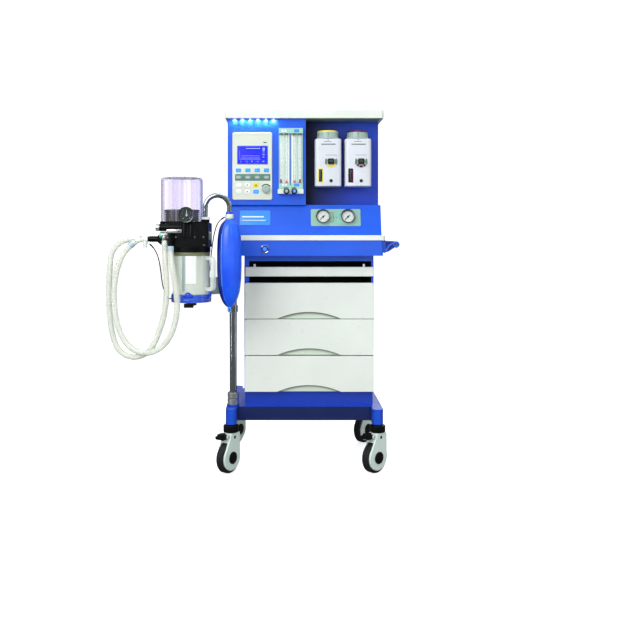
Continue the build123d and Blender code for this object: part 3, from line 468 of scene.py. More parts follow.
def dome_finish():
    """Clear acrylic with painted reflections: white streaks down its walls, violet towards one side and
    blue towards the other.
    """
    made = Finish("dome_acrylic")
    low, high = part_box("bellows_dome")
    across = made.add("SeparateXYZ", Vector=made.where).outputs[0]
    # Painted reflections: a violet tint at the left edge and a blue tint at the right edge.
    left = made.ranged(across, 1.0, 0.0, low.x, low.x + 0.022)
    right = made.ranged(across, 0.0, 1.0, high.x - 0.030, high.x)
    tone = made.blend(left, mottled(made, colour(238, 238, 250), 0.03), colour(184, 144, 208))
    made.set(Base_Color=made.blend(right, tone, colour(104, 144, 236)), Roughness=0.08, Coat_Weight=0.3)
    # Painted reflection streaks along Z, in the colour and in the transparency.
    reflection_streaks = made.ranged(made.noise(46.0, 1.0, made.stretched(1.0, 1.0, 0.005)), 0.0, 1.0, 0.42, 0.58)
    violet = made.blend(reflection_streaks, colour(254, 253, 255), colour(240, 236, 248))
    through = made.add("BsdfTransparent", Color=violet).outputs[0]
    facing = made.add("LayerWeight", Blend=0.3).outputs["Facing"]
    amount = made.ranged(facing, 0.04, 0.85, 0.25, 1.0)
    bands = made.noise(60.0, 2.0, made.stretched(1.0, 1.0, 0.01))
    amount = made.math("ADD", amount, made.ranged(bands, 0.0, 0.14, 0.5, 0.62))
    made.see_through(amount, through)
    return made


def frame_finish():
    """The base frame: blue runners, with painted shade darkening the recessed front beam to navy and the
    plinth to a deeper blue.
    """
    made = painted("frame_coat_painted_shade", BLUE)
    # Painted shade: the front beam between the runners is drawn near navy, and the plinth above the runners
    # is drawn deeper blue.
    beam = made.between(0, at(-273, 0, 0).x, at(273, 0, 0).x)
    beam = made.math("MULTIPLY", beam, made.between(2, 0.190, at(0, 0, RUNNER_TOP - 1).z))
    plinth = made.between(2, at(0, 0, RUNNER_TOP + 1).z, 1.0)
    shade = made.blend(plinth, mottled(made, colour(12, 76, 206), 0.05), colour(8, 56, 176))
    made.set(Base_Color=made.blend(beam, shade, colour(8, 28, 84)))
    return made


def head_finish():
    """Blue outside, with a painted shadow falling to near black at the left of the recessed bay."""
    made = painted("head_coat_painted_bay_shadow", BLUE)
    low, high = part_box("head_housing")
    recess = made.between(1, low.y + 0.02, high.y - 0.003)
    recess = made.math("MULTIPLY", recess, made.between(0, at(0, 0, 0).x, high.x - 0.0025))
    across = made.add("SeparateXYZ", Vector=made.where).outputs[0]
    share = made.ranged(across, 0.0, 1.0, at(12, 0, 0).x, at(215, 0, 0).x)
    # Painted shadow: the bay's back wall runs from near black at its left, where the head's left box shades
    # it, to mid blue.
    wall = made.blend(share, colour(1, 4, 14), colour(5, 60, 190))
    made.set(Base_Color=made.blend(recess, mottled(made, BLUE, 0.05), wall))
    return made


def drawer_finish(name):
    """White drawer front, with painted olive shade just under the arch of its finger pull."""
    made = plastic(f"{name}_moulding", WHITE, 0.32)
    low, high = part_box(name)
    spots = made.add("SeparateXYZ", Vector=made.where).outputs
    across = made.math("SUBTRACT", spots[0], (low.x + high.x) / 2)
    above = made.math("SUBTRACT", spots[2], low.z + (PULL_RISE - PULL_RADIUS) * MM)
    squares = made.math("ADD", made.math("MULTIPLY", across, across), made.math("MULTIPLY", above, above))
    reach = made.math("SQRT", squares)
    # Painted shade: olive under the arch's lip, lightening down into the pull's pocket.
    shade = made.ranged(reach, 0.0, 1.0, (PULL_RADIUS - 13) * MM, (PULL_RADIUS - 1) * MM)
    inside = made.math("LESS_THAN", reach, (PULL_RADIUS + 0.3) * MM)
    inside = made.math("MULTIPLY", inside, made.between(1, low.y + 0.0004, low.y + 0.0146))
    pull = made.blend(shade, colour(206, 222, 206), colour(92, 106, 84))
    made.set(Base_Color=made.blend(inside, mottled(made, WHITE, 0.03), pull))
    return made


def cabinet_finish():
    """Blue outside, near black inside: painted shade for the open tray bay."""
    made = painted("cabinet_blue_with_painted_shade_inside", BLUE)
    low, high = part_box("cabinet_shell")
    wall = 0.0018
    inside = made.between(0, low.x + wall, high.x - wall)
    inside = made.math("MULTIPLY", inside, made.between(1, low.y + wall, high.y - wall))
    inside = made.math("MULTIPLY", inside, made.between(2, low.z + wall, high.z - wall))
    # Painted shade: the inner faces are drawn near black and lose the coat.
    made.set(Base_Color=made.blend(inside, mottled(made, BLUE, 0.05), colour(9, 10, 12)))
    made.set(Coat_Weight=made.math("MULTIPLY", made.math("SUBTRACT", 1.0, inside), 0.25))
    return made


def inlet_finish():
    """Plated nipples on the left, a black power socket on the right with plated pins."""
    made = metal("plated_inlets_and_black_socket", colour(208, 206, 196), 0.2)
    low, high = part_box("rear_inlets")
    socket = made.between(0, (low.x + high.x) / 2, high.x + 0.001)
    base = mottled(made, colour(208, 206, 196), 0.05)
    made.set(Base_Color=made.blend(socket, base, colour(16, 17, 18)))
    made.set(Metallic=made.math("SUBTRACT", 1.0, socket))
    return made


def float_finish():
    """Dark red floats in the outer tubes, pink ones in the inner tubes."""
    made = plastic("float_red_and_pink", colour(176, 50, 96), 0.25, coat=0.4)
    low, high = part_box("flow_floats")
    inner = made.between(0, low.x + 0.015, high.x - 0.015)
    made.set(Base_Color=made.blend(inner, mottled(made, colour(170, 46, 92), 0.1), colour(236, 110, 150)))
    return made


def flow_block_finish():
    """Mint-grey end blocks over a white valve bar."""
    made = plastic("flow_block_mint_and_white", colour(160, 210, 196), 0.38)
    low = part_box("flow_block")[0]
    bar = made.between(2, low.z - 0.001, low.z + 0.0182)
    made.set(Base_Color=made.blend(bar, mottled(made, colour(160, 210, 196), 0.05), WHITE))
    return made


def tyre_finish():
    """Tyre rubber: matt, dusty patches and fine moulding grain."""
    made = plastic("tyre_rubber", colour(20, 22, 25), 0.62, 1400.0, 0.25, 0.25)
    dust = made.ranged(made.noise(26.0, 5.0), 0.0, 0.35, 0.55, 0.8)
    made.set(Base_Color=made.blend(dust, mottled(made, colour(18, 20, 24), 0.2), colour(84, 88, 92)))
    return made


def bag_rubber(name="bag_rubber", deep=colour(14, 78, 236), pale=colour(30, 104, 252)):
    """Latex-free bag rubber: satin, with soft cloudy thickness variation."""
    made = plastic(name, deep, 0.34, 500.0, 0.06, 0.10)
    clouds = made.ranged(made.noise(9.0, 4.0), 0.0, 1.0)
    made.set(Base_Color=made.blend(clouds, deep, pale))
    made.set(Subsurface_Weight=0.10, Subsurface_Scale=0.004, Coat_Weight=0.15, Coat_Roughness=0.3)
    return made


def hose_polymer(name, tone):
    """Milky translucent corrugated hose, with a faint painted glow."""
    made = Finish(name)
    made.set(Base_Color=mottled(made, tone, 0.03, 25.0), Roughness=0.35, Coat_Weight=0.2)
    # The emission is a faint painted glow; the hose is no lamp.
    made.set(Emission_Color=tone, Emission_Strength=0.05)
    made.set(Subsurface_Weight=0.35, Subsurface_Scale=0.006, Subsurface_Radius=(1.0, 1.0, 0.9))
    made.relief(made.noise(700.0), 0.08)
    through = made.add("BsdfTransparent", Color=(0.93, 0.97, 0.95, 1)).outputs[0]
    facing = made.add("LayerWeight", Blend=0.4).outputs["Facing"]
    made.see_through(made.ranged(facing, 0.62, 0.95, 0.0, 1.0), through)
    return made


def glowing(name, base, strength, scale=60.0):
    """A lit display or lamp, a little uneven."""
    made = plastic(name, base, 0.3)
    made.set(Specular_IOR_Level=0.15)
    lit = mottled(made, base, 0.15, scale)
    made.set(Emission_Color=lit, Emission_Strength=strength)
    return made


def granules_finish():
    """Absorber granules: off-white pellets with painted shade in the grey gaps between them, and a faint
    painted glow.
    """
    made = Finish("absorber_granules")
    cells = made.add("TexVoronoi", Vector=made.where, Scale=260.0).outputs["Distance"]
    made.set(
        Base_Color=made.blend(
            made.ranged(cells, 0.0, 1.0, 0.2, 0.6), colour(250, 250, 238), colour(214, 220, 208),
        )
    )
    # The emission is a faint painted glow; the granules are no lamp.
    made.set(Roughness=0.85, Emission_Color=colour(236, 240, 222), Emission_Strength=0.06)
    made.relief(cells, 0.7, 0.002)
    return made


display_glass = glowing("display_violet_blue", colour(36, 40, 232), 0.62)
display_ink = glowing("display_trace", colour(170, 186, 255), 0.6)
lamp_cyan = glowing("lamp_cyan", colour(206, 246, 255), 2.0)
hose_finish = hose_polymer("hose_milky_polymer", colour(244, 246, 234))
groove_shade_finish = hose_polymer("hose_groove_painted_shade", colour(206, 216, 204))
tyre = tyre_finish()

CAD_FINISHES = {
    "base_frame": frame_finish(),
    "cabinet_shell": cabinet_finish(),
    "head_housing": head_finish(),
    "gauge_cases": chrome,
    "rear_inlets": inlet_finish(),
    "oxygen_flush_button": blue_plastic,
    "control_panel": cream_plastic,
    "control_knob": knob_grey,
    "flow_block": flow_block_finish(),
    "flow_tubes": tube_glass,
    "flow_floats": float_finish(),
    "absorber_arm": grey_paint,
    "absorber_block": black_satin,
    "apl_knob": silver,
    "manometer_needle": white_ink,
    "bellows_dome": dome_finish(),
    "canister": canister_clear,
    "clamp_cup": cup_blue,
}
CAD_FINISHES |= dict.fromkeys(("apron_box", "gas_console", "push_handle"), blue_paint)
CAD_FINISHES |= dict.fromkeys(("pole", "manometer", "bag_pipe"), bright_chrome)
CAD_FINISHES |= dict.fromkeys(("vaporizer_left", "vaporizer_right"), white_paint)
BY_PREFIX = (  # the finish of the nodes whose names start so, where the table above names none
    ("vaporizer_dial_", dial_grey),
    ("gauge_needle_", ink),
    ("caster_fork_", fork_white),
    ("caster_wheel_", tyre),
    ("caster_", black_plastic),
    ("flow_knob_", black_plastic),
    ("vaporizer_lock_", black_plastic),
    ("lift_lever", black_plastic),
    ("", white_plastic),
)
for node_name, node_object in nodes.items():
    if node_name.startswith("drawer_"):
        finish = drawer_finish(node_name)
    else:
        by_prefix = next(tone for prefix, tone in BY_PREFIX if node_name.startswith(prefix))
        finish = CAD_FINISHES.get(node_name, by_prefix)
    for slot in node_object.material_slots:
        slot.material = finish.material

# ---- cords: two corrugated hoses and the sampling line ---------------------------------------

HOSE_R = 0.011
HOSE_A = [  # machine coordinates, metres: expiratory
    (-0.526, -0.478, 0.932),
    (-0.526, -0.478, 0.872),
    (-0.518, -0.482, 0.785),
    (-0.519, -0.480, 0.713),
    (-0.530, -0.474, 0.645),
    (-0.550, -0.467, 0.585),
    (-0.573, -0.462, 0.532),
    (-0.603, -0.459, 0.502),
    (-0.643, -0.457, 0.491),
    (-0.683, -0.455, 0.502),
    (-0.713, -0.454, 0.532),
    (-0.732, -0.453, 0.602),
    (-0.739, -0.452, 0.690),
    (-0.739, -0.452, 0.764),
    (-0.736, -0.452, 0.828),
    (-0.732, -0.453, 0.880),
    (-0.711, -0.454, 0.915),
    (-0.6755, -0.454, 0.9365),
    (-0.634, -0.454, 0.937),
]
HOSE_B = [  # inspiratory
    (-0.501, -0.497, 0.911),
    (-0.501, -0.497, 0.872),
    (-0.488, -0.509, 0.800),
    (-0.476, -0.514, 0.731),
    (-0.474, -0.514, 0.680),
    (-0.481, -0.512, 0.632),
    (-0.498, -0.509, 0.580),
    (-0.530, -0.505, 0.537),
    (-0.575, -0.502, 0.514),
    (-0.622, -0.499, 0.517),
    (-0.664, -0.496, 0.545),
    (-0.695, -0.493, 0.600),
    (-0.710, -0.491, 0.668),
    (-0.713, -0.490, 0.740),
    (-0.707, -0.488, 0.806),
    (-0.690, -0.487, 0.862),
    (-0.664, -0.486, 0.904),
    (-0.640, -0.486, 0.922),
]
LINE = [  # the black sampling line, from the Y-piece behind the canister to the bag collar
    (-0.583, -0.470, 0.918),
    (-0.567, -0.470, 0.905),
    (-0.550, -0.466, 0.866),
    (-0.542, -0.464, 0.815),
    (-0.537, -0.460, 0.762),
    (-0.524, -0.448, 0.722),
    (-0.521, -0.412, 0.706),
    (-0.503, -0.368, 0.716),
    (-0.465, -0.341, 0.734),
    (-0.420, -0.338, 0.752),
    (-0.382, -0.349, 0.779),
    (-0.366, -0.368, 0.822),
    (-0.362, -0.389, 0.868),
    (-0.355, -0.402, 0.915),
    (-0.348, -0.410, 0.955),
    (-0.338, -0.416, 0.990),
    (-0.322, -0.420, 1.012),
    (-0.306, -0.420, 1.020),
]


def smooth_curve(name, points, bevel=0.0):
    """A smooth NURBS curve with these control points, in machine metres."""
    curve = bpy.data.curves.new(name, "CURVE")
    curve.dimensions = "3D"
    curve.resolution_u = 16
    curve.bevel_depth = bevel
    curve.bevel_resolution = 5
    curve.use_fill_caps = True
    spline = curve.splines.new("NURBS")
    spline.points.add(len(points) - 1)
    for control, point in zip(spline.points, points):
        control.co = (*(Vector(point) - ORIGIN), 1.0)
    spline.order_u = 3
    spline.use_endpoint_u = True
    piece = bpy.data.objects.new(name, curve)
    bpy.context.scene.collection.objects.link(piece)
    return piece


def followed(points):
    """The smooth line of a route, as points of its own spline."""
    guide = smooth_curve("guide", points)
    mesh = bpy.data.meshes.new_from_object(guide)
    line = [v.co.copy() for v in mesh.vertices]
    bpy.data.objects.remove(guide)
    bpy.data.meshes.remove(mesh)
    return line


def stepped(line, step):
    """Points evenly spaced along a line."""
    lengths = [(b - a).length for a, b in zip(line, line[1:])]
    count = max(2, round(sum(lengths) / step))
    spacing = sum(lengths) / count
    result, done, index = [], 0.0, 0
    for i in range(count + 1):
        wanted = min(i * spacing, sum(lengths) - 1e-9)
        while done + lengths[index] < wanted and index < len(lengths) - 1:
            done += lengths[index]
            index += 1
        share = (wanted - done) / lengths[index]
        result.append(line[index].lerp(line[index + 1], min(max(share, 0.0), 1.0)))
    return result


TUBE_STEPS = 28  # points round a hose


def tube_rings(centres, radii, steps=TUBE_STEPS):
    """Rings square to a line, without twist."""
    rings = []
    side = None
    for i, centre in enumerate(centres):
        along = (centres[min(i + 1, len(centres) - 1)] - centres[max(i - 1, 0)]).normalized()
        side = (Vector((0, 1, 0)) if side is None else side).cross(along).cross(along).normalized() * -1
        other = along.cross(side)
        rings.append(
            [
                tuple(
                    centre + (
                        side * math.cos(math.tau * k / steps) + other * math.sin(math.tau * k / steps)
                    ) * radii[i]
                )
                for k in range(steps)
            ]
        )
    return rings


IDENTITY = Matrix.Identity(4)
CORRUGATION = (1.0, 0.985, 0.87, 0.985)  # radius of the four rings of one rib
CORRUGATION_PITCH = 0.0052
CUFF_LENGTH = 0.016


def hose(name, node, points):
    """A corrugated breathing hose with plain cuffs at both ends."""
    line = followed(points)
    centres = stepped(line, CORRUGATION_PITCH / len(CORRUGATION))
    total = len(centres)
    cuff = round(CUFF_LENGTH / (CORRUGATION_PITCH / len(CORRUGATION)))
    radii = []
    for i in range(total):
        plain = i < cuff or i >= total - cuff
        radii.append(HOSE_R * (1.0 if plain else CORRUGATION[i % len(CORRUGATION)]))
    piece = build(
        name, "absorber", "hose_plastic", hose_finish, [(IDENTITY, skin(tube_rings(centres, radii)))], 70,
    )
    piece.data.materials.append(groove_shade_finish.material)
    # The ribs' valleys take the darker groove finish: painted shade in the corrugations.
    for face in piece.data.polygons:
        lane = face.index // TUBE_STEPS
        if cuff <= lane < total - cuff and CORRUGATION[lane % len(CORRUGATION)] < 0.96:
            face.material_index = 1
    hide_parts(node)
    for tag, reach in (("inlet", centres[: cuff + 3]), ("outlet", centres[-cuff - 3 :])):
        bulge = [HOSE_R * (1.10 if 2 <= i < len(reach) - 2 else 1.03) for i in range(len(reach))]
        tone = white_plastic if "expiratory" in name else cuff_shade_finish
        build(
                f"{name}_cuff_{tag}", "absorber", "white_plastic", tone,
                [(IDENTITY, skin(tube_rings(reach, bulge)))],
            )
    return piece


# The inspiratory hose's white cuffs drawn blue-grey: painted shade, as they hang behind the other hose.
cuff_shade_finish = plastic("cuff_painted_shade", colour(176, 204, 216), 0.35)
hose("hose_expiratory_corrugated", "hose_expiratory", HOSE_A)
hose("hose_inspiratory_corrugated", "hose_inspiratory", HOSE_B)

LINE_R = 0.0021
line_piece = smooth_curve("sampling_line_tube", LINE, LINE_R)
line_piece.data.materials.append(
    plastic("black_line_rubber", colour(14, 15, 17), 0.4, 1800.0, 0.2).material
)
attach(line_piece, "absorber")
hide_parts("sampling_line")
line_points = followed(LINE)
for tag, reach in (("lower", line_points[:9]), ("upper", line_points[-9:])):
    run = stepped(reach, 0.002)
    widths = [0.0026 if i % 2 else 0.0031 for i in range(len(run))]
    build(
            f"sampling_line_ferrule_{tag}", "absorber", "black_plastic", black_plastic,
            [(IDENTITY, skin(tube_rings(run, widths)))],
        )

# ---- breathing bag ---------------------------------------------------------------------------

BAG_AXIS = (-289.0, -420.0)
BAG_PROFILE = (  # height, half width, half depth, in machine millimetres
    (1016, 12.5, 12.5),
    (1010, 16, 14),
    (1002, 24, 19),
    (992, 32, 25),
    (975, 39, 31),
    (950, 44, 36),
    (915, 46.6, 39.5),
    (870, 47.6, 41),
    (820, 47.2, 40.5),
    (775, 45, 37.5),
    (740, 40.5, 32),
    (715, 33.5, 26),
    (697, 25.5, 19),
    (686, 17.5, 13),
    (678, 9, 7.5),
)
SEAM_ANGLE = 227.0  # where the moulded seam runs, in degrees from +X through -Y being 270


def smooth_value(table, height, column):
    """A column of a table, read smoothly at a height."""
    heights = [row[0] for row in table]
    values = [row[column + 1] for row in table]
    if height >= heights[0]:
        return values[0]
    if height <= heights[-1]:
        return values[-1]
    k = next(i for i in range(len(heights) - 1) if heights[i + 1] <= height)
    slopes = [(values[i + 1] - values[i]) / (heights[i + 1] - heights[i]) for i in range(len(heights) - 1)]
    ends = []
    for i in (k, k + 1):
        near = [slopes[n] for n in (i - 1, i) if 0 <= n < len(slopes)]
        ends.append(0.0 if min(near) * max(near) <= 0 else sum(near) / len(near))
    run = heights[k + 1] - heights[k]
    t = (height - heights[k]) / run
    return (
        (2 * t**3 - 3 * t**2 + 1) * values[k]
        + (t**3 - 2 * t**2 + t) * run * ends[0]
        + (-2 * t**3 + 3 * t**2) * values[k + 1]
        + (t**3 - t**2) * run * ends[1]
    )


def breathing_bag():
    """A hanging reservoir bag: crowned lobes, a gathered neck, a moulded seam rib and a soft crease."""
    around, up = 144, 110
    top, bottom = BAG_PROFILE[0][0], BAG_PROFILE[-1][0]
    rings, bearings = [], [360.0 * i / around for i in range(around)]
    for level in range(up + 1):
        height = top + (bottom - top) * level / up
        wide = smooth_value(BAG_PROFILE, height, 0)
        deep = smooth_value(BAG_PROFILE, height, 1)
        neck = math.exp(-(((top - height) / 38.0) ** 2)) + 0.9 * math.exp(
            -(((height - bottom) / 34.0) ** 2)
        )
        body = min(1.0, wide / 34.0)
        points = []
        for bearing in bearings:
            angle = math.radians(bearing)
            seam = bearing - SEAM_ANGLE
            opposite = bearing - SEAM_ANGLE + 180.0
            grow = body * (
                2.6 * math.exp(-((seam / 2.4) ** 2)) - 2.2 * math.exp(-(((abs(seam) - 7.0) / 4.5) ** 2))
            )
            grow += body * (
                2.6 * math.exp(-((opposite / 2.4) ** 2)) - 2.2 * math.exp(
                    -(((abs(opposite) - 7) / 4.5) ** 2)
                )
            )
            grow += 1.0 * neck * math.cos(8 * angle) * body
            drift = 276.0 + 7.0 * math.sin((height - 700) / 95.0)
            grow -= 1.0 * body * math.exp(-(((bearing - drift) / 4.0) ** 2))
            spot = Vector((1.3 * math.cos(angle), 1.3 * math.sin(angle), height / 130.0))
            grow += 0.5 * noise.noise(spot)
            x = BAG_AXIS[0] + (wide + grow - 0.6) * math.cos(angle)
            y = BAG_AXIS[1] + (deep + grow - 0.6) * math.sin(angle)
            points.append(tuple(at(x, y, height)))
        rings.append(points)
    points, faces = skin(rings)
    piece = build(
        "breathing_bag_moulded", "absorber", "blue_rubber", bag_rubber(), [(IDENTITY, (points, faces))], 70,
    )
    piece.data.materials.append(
        bag_rubber("bag_rubber_painted_shade_lobe", colour(0, 26, 140), colour(2, 38, 164)).material
    )
    piece.data.materials.append(
        bag_rubber("bag_rubber_rib_painted_highlight", colour(60, 138, 255), colour(84, 156, 255)).material
    )
    # Material 1 is painted shade on the side from the back round to the seam; material 2 is a painted
    # highlight along the seam rib.
    for face in piece.data.polygons:
        spot = face.center - at(*BAG_AXIS, 0)
        bearing = math.degrees(math.atan2(spot.y, spot.x)) % 360
        if abs(bearing - SEAM_ANGLE) < 2.0:
            face.material_index = 2
        elif 60 < bearing < SEAM_ANGLE:
            face.material_index = 1
    soften = piece.modifiers.new("soften", "SUBSURF")
    soften.levels = soften.render_levels = 1
    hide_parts("breathing_bag")
    return piece


breathing_bag()
tail_frame = place(BAG_AXIS[0], BAG_AXIS[1] - 4, 672)
tail_parts = [
    (shifted(tail_frame, 0, 0, -3), bezel(13, 26, 5, 3.2, 5)),
    (shifted(tail_frame, 0, 6, -4), plate(11, 12, 7, 3, 1.5)),
]
build("bag_hanging_tab", "absorber", "blue_rubber", light_blue, tail_parts)

neck_frame = place(BAG_AXIS[0], BAG_AXIS[1], 1014, 0, 0)
neck_profile = [
    (9.6, 0), (14.4, 0), (15.6, 1), (15.6, 3), (15.0, 4), (15.6, 5), (15.6, 15.5), (14.6, 17.4),
    (9.6, 17.4),
]
build("bag_neck_collar", "absorber", "white_plastic", white_plastic, [(neck_frame, collar(neck_profile))])
blue_profile = [(9.6, 17.4), (13.4, 17.4), (13.8, 18.4), (13.8, 24.4), (12.8, 25.9), (9.6, 25.9)]
build("bag_neck_ring", "absorber", "blue_plastic", blue_plastic, [(neck_frame, collar(blue_profile))])
cuff_profile = [(10, -9), (13.2, -9), (13.8, -7), (13.8, -2), (13.0, 0.5), (10, 0.5)]
build("bag_neck_cuff", "absorber", "blue_rubber", light_blue, [(neck_frame, collar(cuff_profile))])

# ---- bellows ---------------------------------------------------------------------------------


def bellows():
    """A pleated rubber bellows with its disc, built up from the bottom of the CAD bellows."""
    low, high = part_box("bellows")
    middle = (low + high) / 2
    base = local(Vector((middle.x, middle.y, low.z)), 0, 0)
    height = (high.z - low.z) / MM - 6.0
    folds = 6
    profile = [(30, 0.4)]
    for fold in range(folds):
        z = height * fold / folds
        step = height / folds
        profile += [(60, z + 0.4), (66, z + 0.22 * step), (69.6, z + 0.45 * step), (69.6, z + 0.58 * step)]
        profile += [(66, z + 0.80 * step), (60.5, z + 0.98 * step)]
    profile += [
        (66, height), (68.4, height + 0.8), (68.4, height + 4.4), (67, height + 5.6), (20, height + 5.6),
    ]
    profile += [(18, height + 4.6), (6, height + 4.6)]
    rubber = plastic("bellows_rubber", colour(24, 25, 30), 0.42, 600.0, 0.12)
    piece = build("bellows_pleated", None, "black_rubber", rubber, [(base, turned(profile, 72))], 50)
    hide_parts("bellows")
    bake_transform(piece)


bellows()

# ---- dome fittings ---------------------------------------------------------------------------

dome_low, dome_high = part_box("bellows_dome")
dome_foot = local(
    Vector(((dome_low.x + dome_high.x) / 2, (dome_low.y + dome_high.y) / 2, dome_low.z)), 0, 0,
)
DOME_R = (dome_high.x - dome_low.x) / 2 / MM
flange_profile = [
    (DOME_R - 3, 0), (DOME_R + 3.5, 0), (DOME_R + 3.5, 4), (DOME_R + 2, 5.5), (DOME_R + 0.2, 5.5),
    (DOME_R - 3, 2),
]
build(
    "dome_clamp_ring", "absorber", "black_plastic", black_satin, [(dome_foot, collar(flange_profile, 96))],
)
scale_parts = []
for step in range(11):
    length = 12.0 if step % 5 == 0 else 7.0
    start = 232 - length / 2 * 0.7
    scale_parts.append(
        (
            shifted(dome_foot, z=26 + 9.5 * step),
            arc_band(DOME_R + 0.05, DOME_R + 0.25, start, start + length * 0.7, 0.7, 6),
        )
    )
build("dome_volume_scale", "absorber", "black_plastic", grey_ink, scale_parts)

# ---- canister: granules, gasket, label, strip, clamp loop ------------------------------------

CANISTER_AXIS = (-433.5, -420.0)
CANISTER_FOOT = place(*CANISTER_AXIS, 708, 0, 0)
CANISTER_R = 69.7


def granule_fill():
    """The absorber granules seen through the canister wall."""
    around, up, radius = 150, 56, 65.2
    bottom, top = 6.0, 150.0
    rings = [ring(radius * 0.5, bottom, around), ring(radius - 2, bottom, around)]
    for level in range(up + 1):
        height = bottom + 1 + (top - bottom) * level / up
        points = []
        for i in range(around):
            angle = math.tau * i / around
            spot = Vector((math.cos(angle) * radius, math.sin(angle) * radius, height)) / 3.4
            distance = noise.voronoi(spot)[0][0]
            grown = radius + 1.0 - 2.2 * min(distance, 1.0)
            points.append((grown * math.cos(angle), grown * math.sin(angle), height))
        rings.append(points)
    for share in (0.93, 0.7, 0.45, 0.2, 0.01):
        lift = 5.0 * (1 - share)
        rings.append([(x * share, y * share, top + 1 + lift) for x, y, _ in ring(radius, 0, around)])
    build(
        "absorber_granules", "canister", "white_plastic", granules_finish(), [(CANISTER_FOOT, skin(rings))],
        60,
    )


granule_fill()
gasket_profile = [(66, 166), (70.4, 166), (71.2, 168), (71.2, 176.5), (70.2, 178.8), (66, 178.8)]
build("canister_gasket", "canister", "black_rubber", olive, [(CANISTER_FOOT, collar(gasket_profile, 96))])
foot_profile = [(66, 21), (70.1, 21), (71.4, 23), (71.4, 27), (70.1, 29), (66, 29)]
build(
    "canister_foot_bead", "canister", "clear_plastic", canister_clear,
    [(CANISTER_FOOT, collar(foot_profile, 96))],
)
label_paper = plastic("paper_label", colour(236, 240, 238), 0.6, 400.0, 0.05)
label_parts = [
    (shifted(CANISTER_FOOT, z=62), arc_band(CANISTER_R + 0.1, CANISTER_R + 0.5, 259, 292, 108, 20))
]
build("canister_label", "canister", "white_plastic", label_paper, label_parts)
# A grey band with ticks down the canister: painted shade and reflection on the clear wall.
shade_band_finish = plastic("shade_band_grey", colour(150, 172, 176), 0.3, coat=0.4)
strip_parts = [
    (shifted(CANISTER_FOOT, z=34), arc_band(CANISTER_R + 0.1, CANISTER_R + 0.9, 247.5, 256.0, 136, 8))
]
for step in range(12):
    strip_parts.append(
        (
            shifted(CANISTER_FOOT, z=42 + step * 10.4),
            arc_band(CANISTER_R, CANISTER_R + 1.2, 249, 253, 0.9, 4),
        )
    )
build("canister_shade_band", "canister", "clear_plastic", shade_band_finish, strip_parts)

loop_frame = place(-436.5, -420.0 - 76.5, 726)
loop_parts = [
    (loop_frame, arc_band(8.2, 13.2, -4, 184, 5, 28)),
    (shifted(loop_frame, z=-2), plate(34, 9, 6.5, 2)),
    (shifted(loop_frame, 0, 3.5, 1.0), plate(15, 3.5, 2.4, 1.2)),
]
build("clamp_pull_loop", "canister", "blue_plastic", blue_plastic, loop_parts)
rib_profile = [(74, 8), (76.6, 8.4), (77.2, 10), (76.6, 11.6), (74, 12)]
cup_foot = place(*CANISTER_AXIS, 699, 0, 0)
rib_parts = [(cup_foot, collar(rib_profile, 96)), (shifted(cup_foot, z=11.5), collar(rib_profile, 96))]
build("clamp_cup_ribs", "canister", "blue_plastic", cup_blue, rib_parts)
curl_line = [
    at(-372, -452, 716), at(-362, -456, 722), at(-356, -459, 730), at(-357, -460, 738), at(-364, -459, 738),
]
curl_radii = [0.0042, 0.0040, 0.0036, 0.0032, 0.0026]
build(
    "clamp_curled_end", "canister", "blue_plastic", blue_plastic,
    [(IDENTITY, skin(tube_rings(curl_line, curl_radii, 16)))],
)

# ---- fasteners -------------------------------------------------------------------------------


def cap_screw(frame_at, radius=3.0):
    """A socket-head screw: a rounded head with a round recess."""
    head = [(radius, 0), (radius, 1.4), (radius * 0.86, 2.0), (radius * 0.52, 2.0), (radius * 0.5, 0.8)]
    return (frame_at, turned(head, 24))


def pan_screw(frame_at, radius=3.2):
    """A pan-head screw's parts: a domed head with a cross on it."""
    head = (frame_at, turned([(radius, 0), (radius, 0.8), (radius * 0.8, 1.6), (radius * 0.4, 2.0)], 24))
    cross = [
        (shifted(frame_at, z=1.7, turn=45 + 90 * k), plate(radius * 1.3, 0.7, 0.5, 0.2, 0.1))
        for k in (0, 1)
    ]
    return [head, *cross]


# ---- absorber block fittings -----------------------------------------------------------------

BLOCK_FRONT = -485.0
block_screws = [cap_screw(place(x, BLOCK_FRONT, 944)) for x in (-483, -413, -380)]
block_screws += [cap_screw(place(x, BLOCK_FRONT, 914)) for x in (-500, -378)]
build("block_front_screws", "absorber", "chrome", steel, block_screws)
post_parts = [
    (place(x, -482, 938, 0, 0), turned([(6, 0), (7.4, 1.5), (7.4, 54), (6.4, 57)], 36))
    for x in (-452, -427)
]
build("block_guide_posts", "absorber", "black_plastic", black_satin, post_parts)
plate_frame = place(-489, -489.4, 966)
build("valve_setting_plate", "absorber", "chrome", silver, [(plate_frame, plate(56, 13, 2.0, 2.5))])
mark_parts = [(shifted(plate_frame, 17, 0, 2.0), plate(7, 5, 0.4, 1, 0.1))]
mark_parts += [
    (shifted(plate_frame, -24 + 4.5 * k, 0, 2.0), plate(0.8, 4 + 3 * (k % 2), 0.3, 0.3, 0.1))
    for k in range(8)
]
build("valve_setting_marks", "absorber", "black_plastic", ink, mark_parts)
elbow_parts = [
    (place(-513.5, -478, 950, -90), turned([(13.4, 0), (14.0, 1), (14.0, 24), (13.2, 25)], 40)),
    (place(-526, -478, 933, 0, 0), turned([(12.9, 0), (13.9, 1.5), (13.9, 20), (13.2, 21)], 40)),
]
build("expiratory_port_elbow", "absorber", "chrome", silver, elbow_parts)
ring_parts = [(place(-538.2, -478, 950, -90), turned([(11.5, 0), (13.2, 0.6), (13.2, 5), (11.5, 6)], 40))]
build("expiratory_port_ring", "absorber", "white_plastic", mint, ring_parts)
flange_frame = place(-503, -487.5, 940)
build("port_flange_bar", "absorber", "chrome", silver, [(flange_frame, plate(24, 5, 2.2, 1.5))])
latch_frame = place(-363.7, -438, 949, 90)
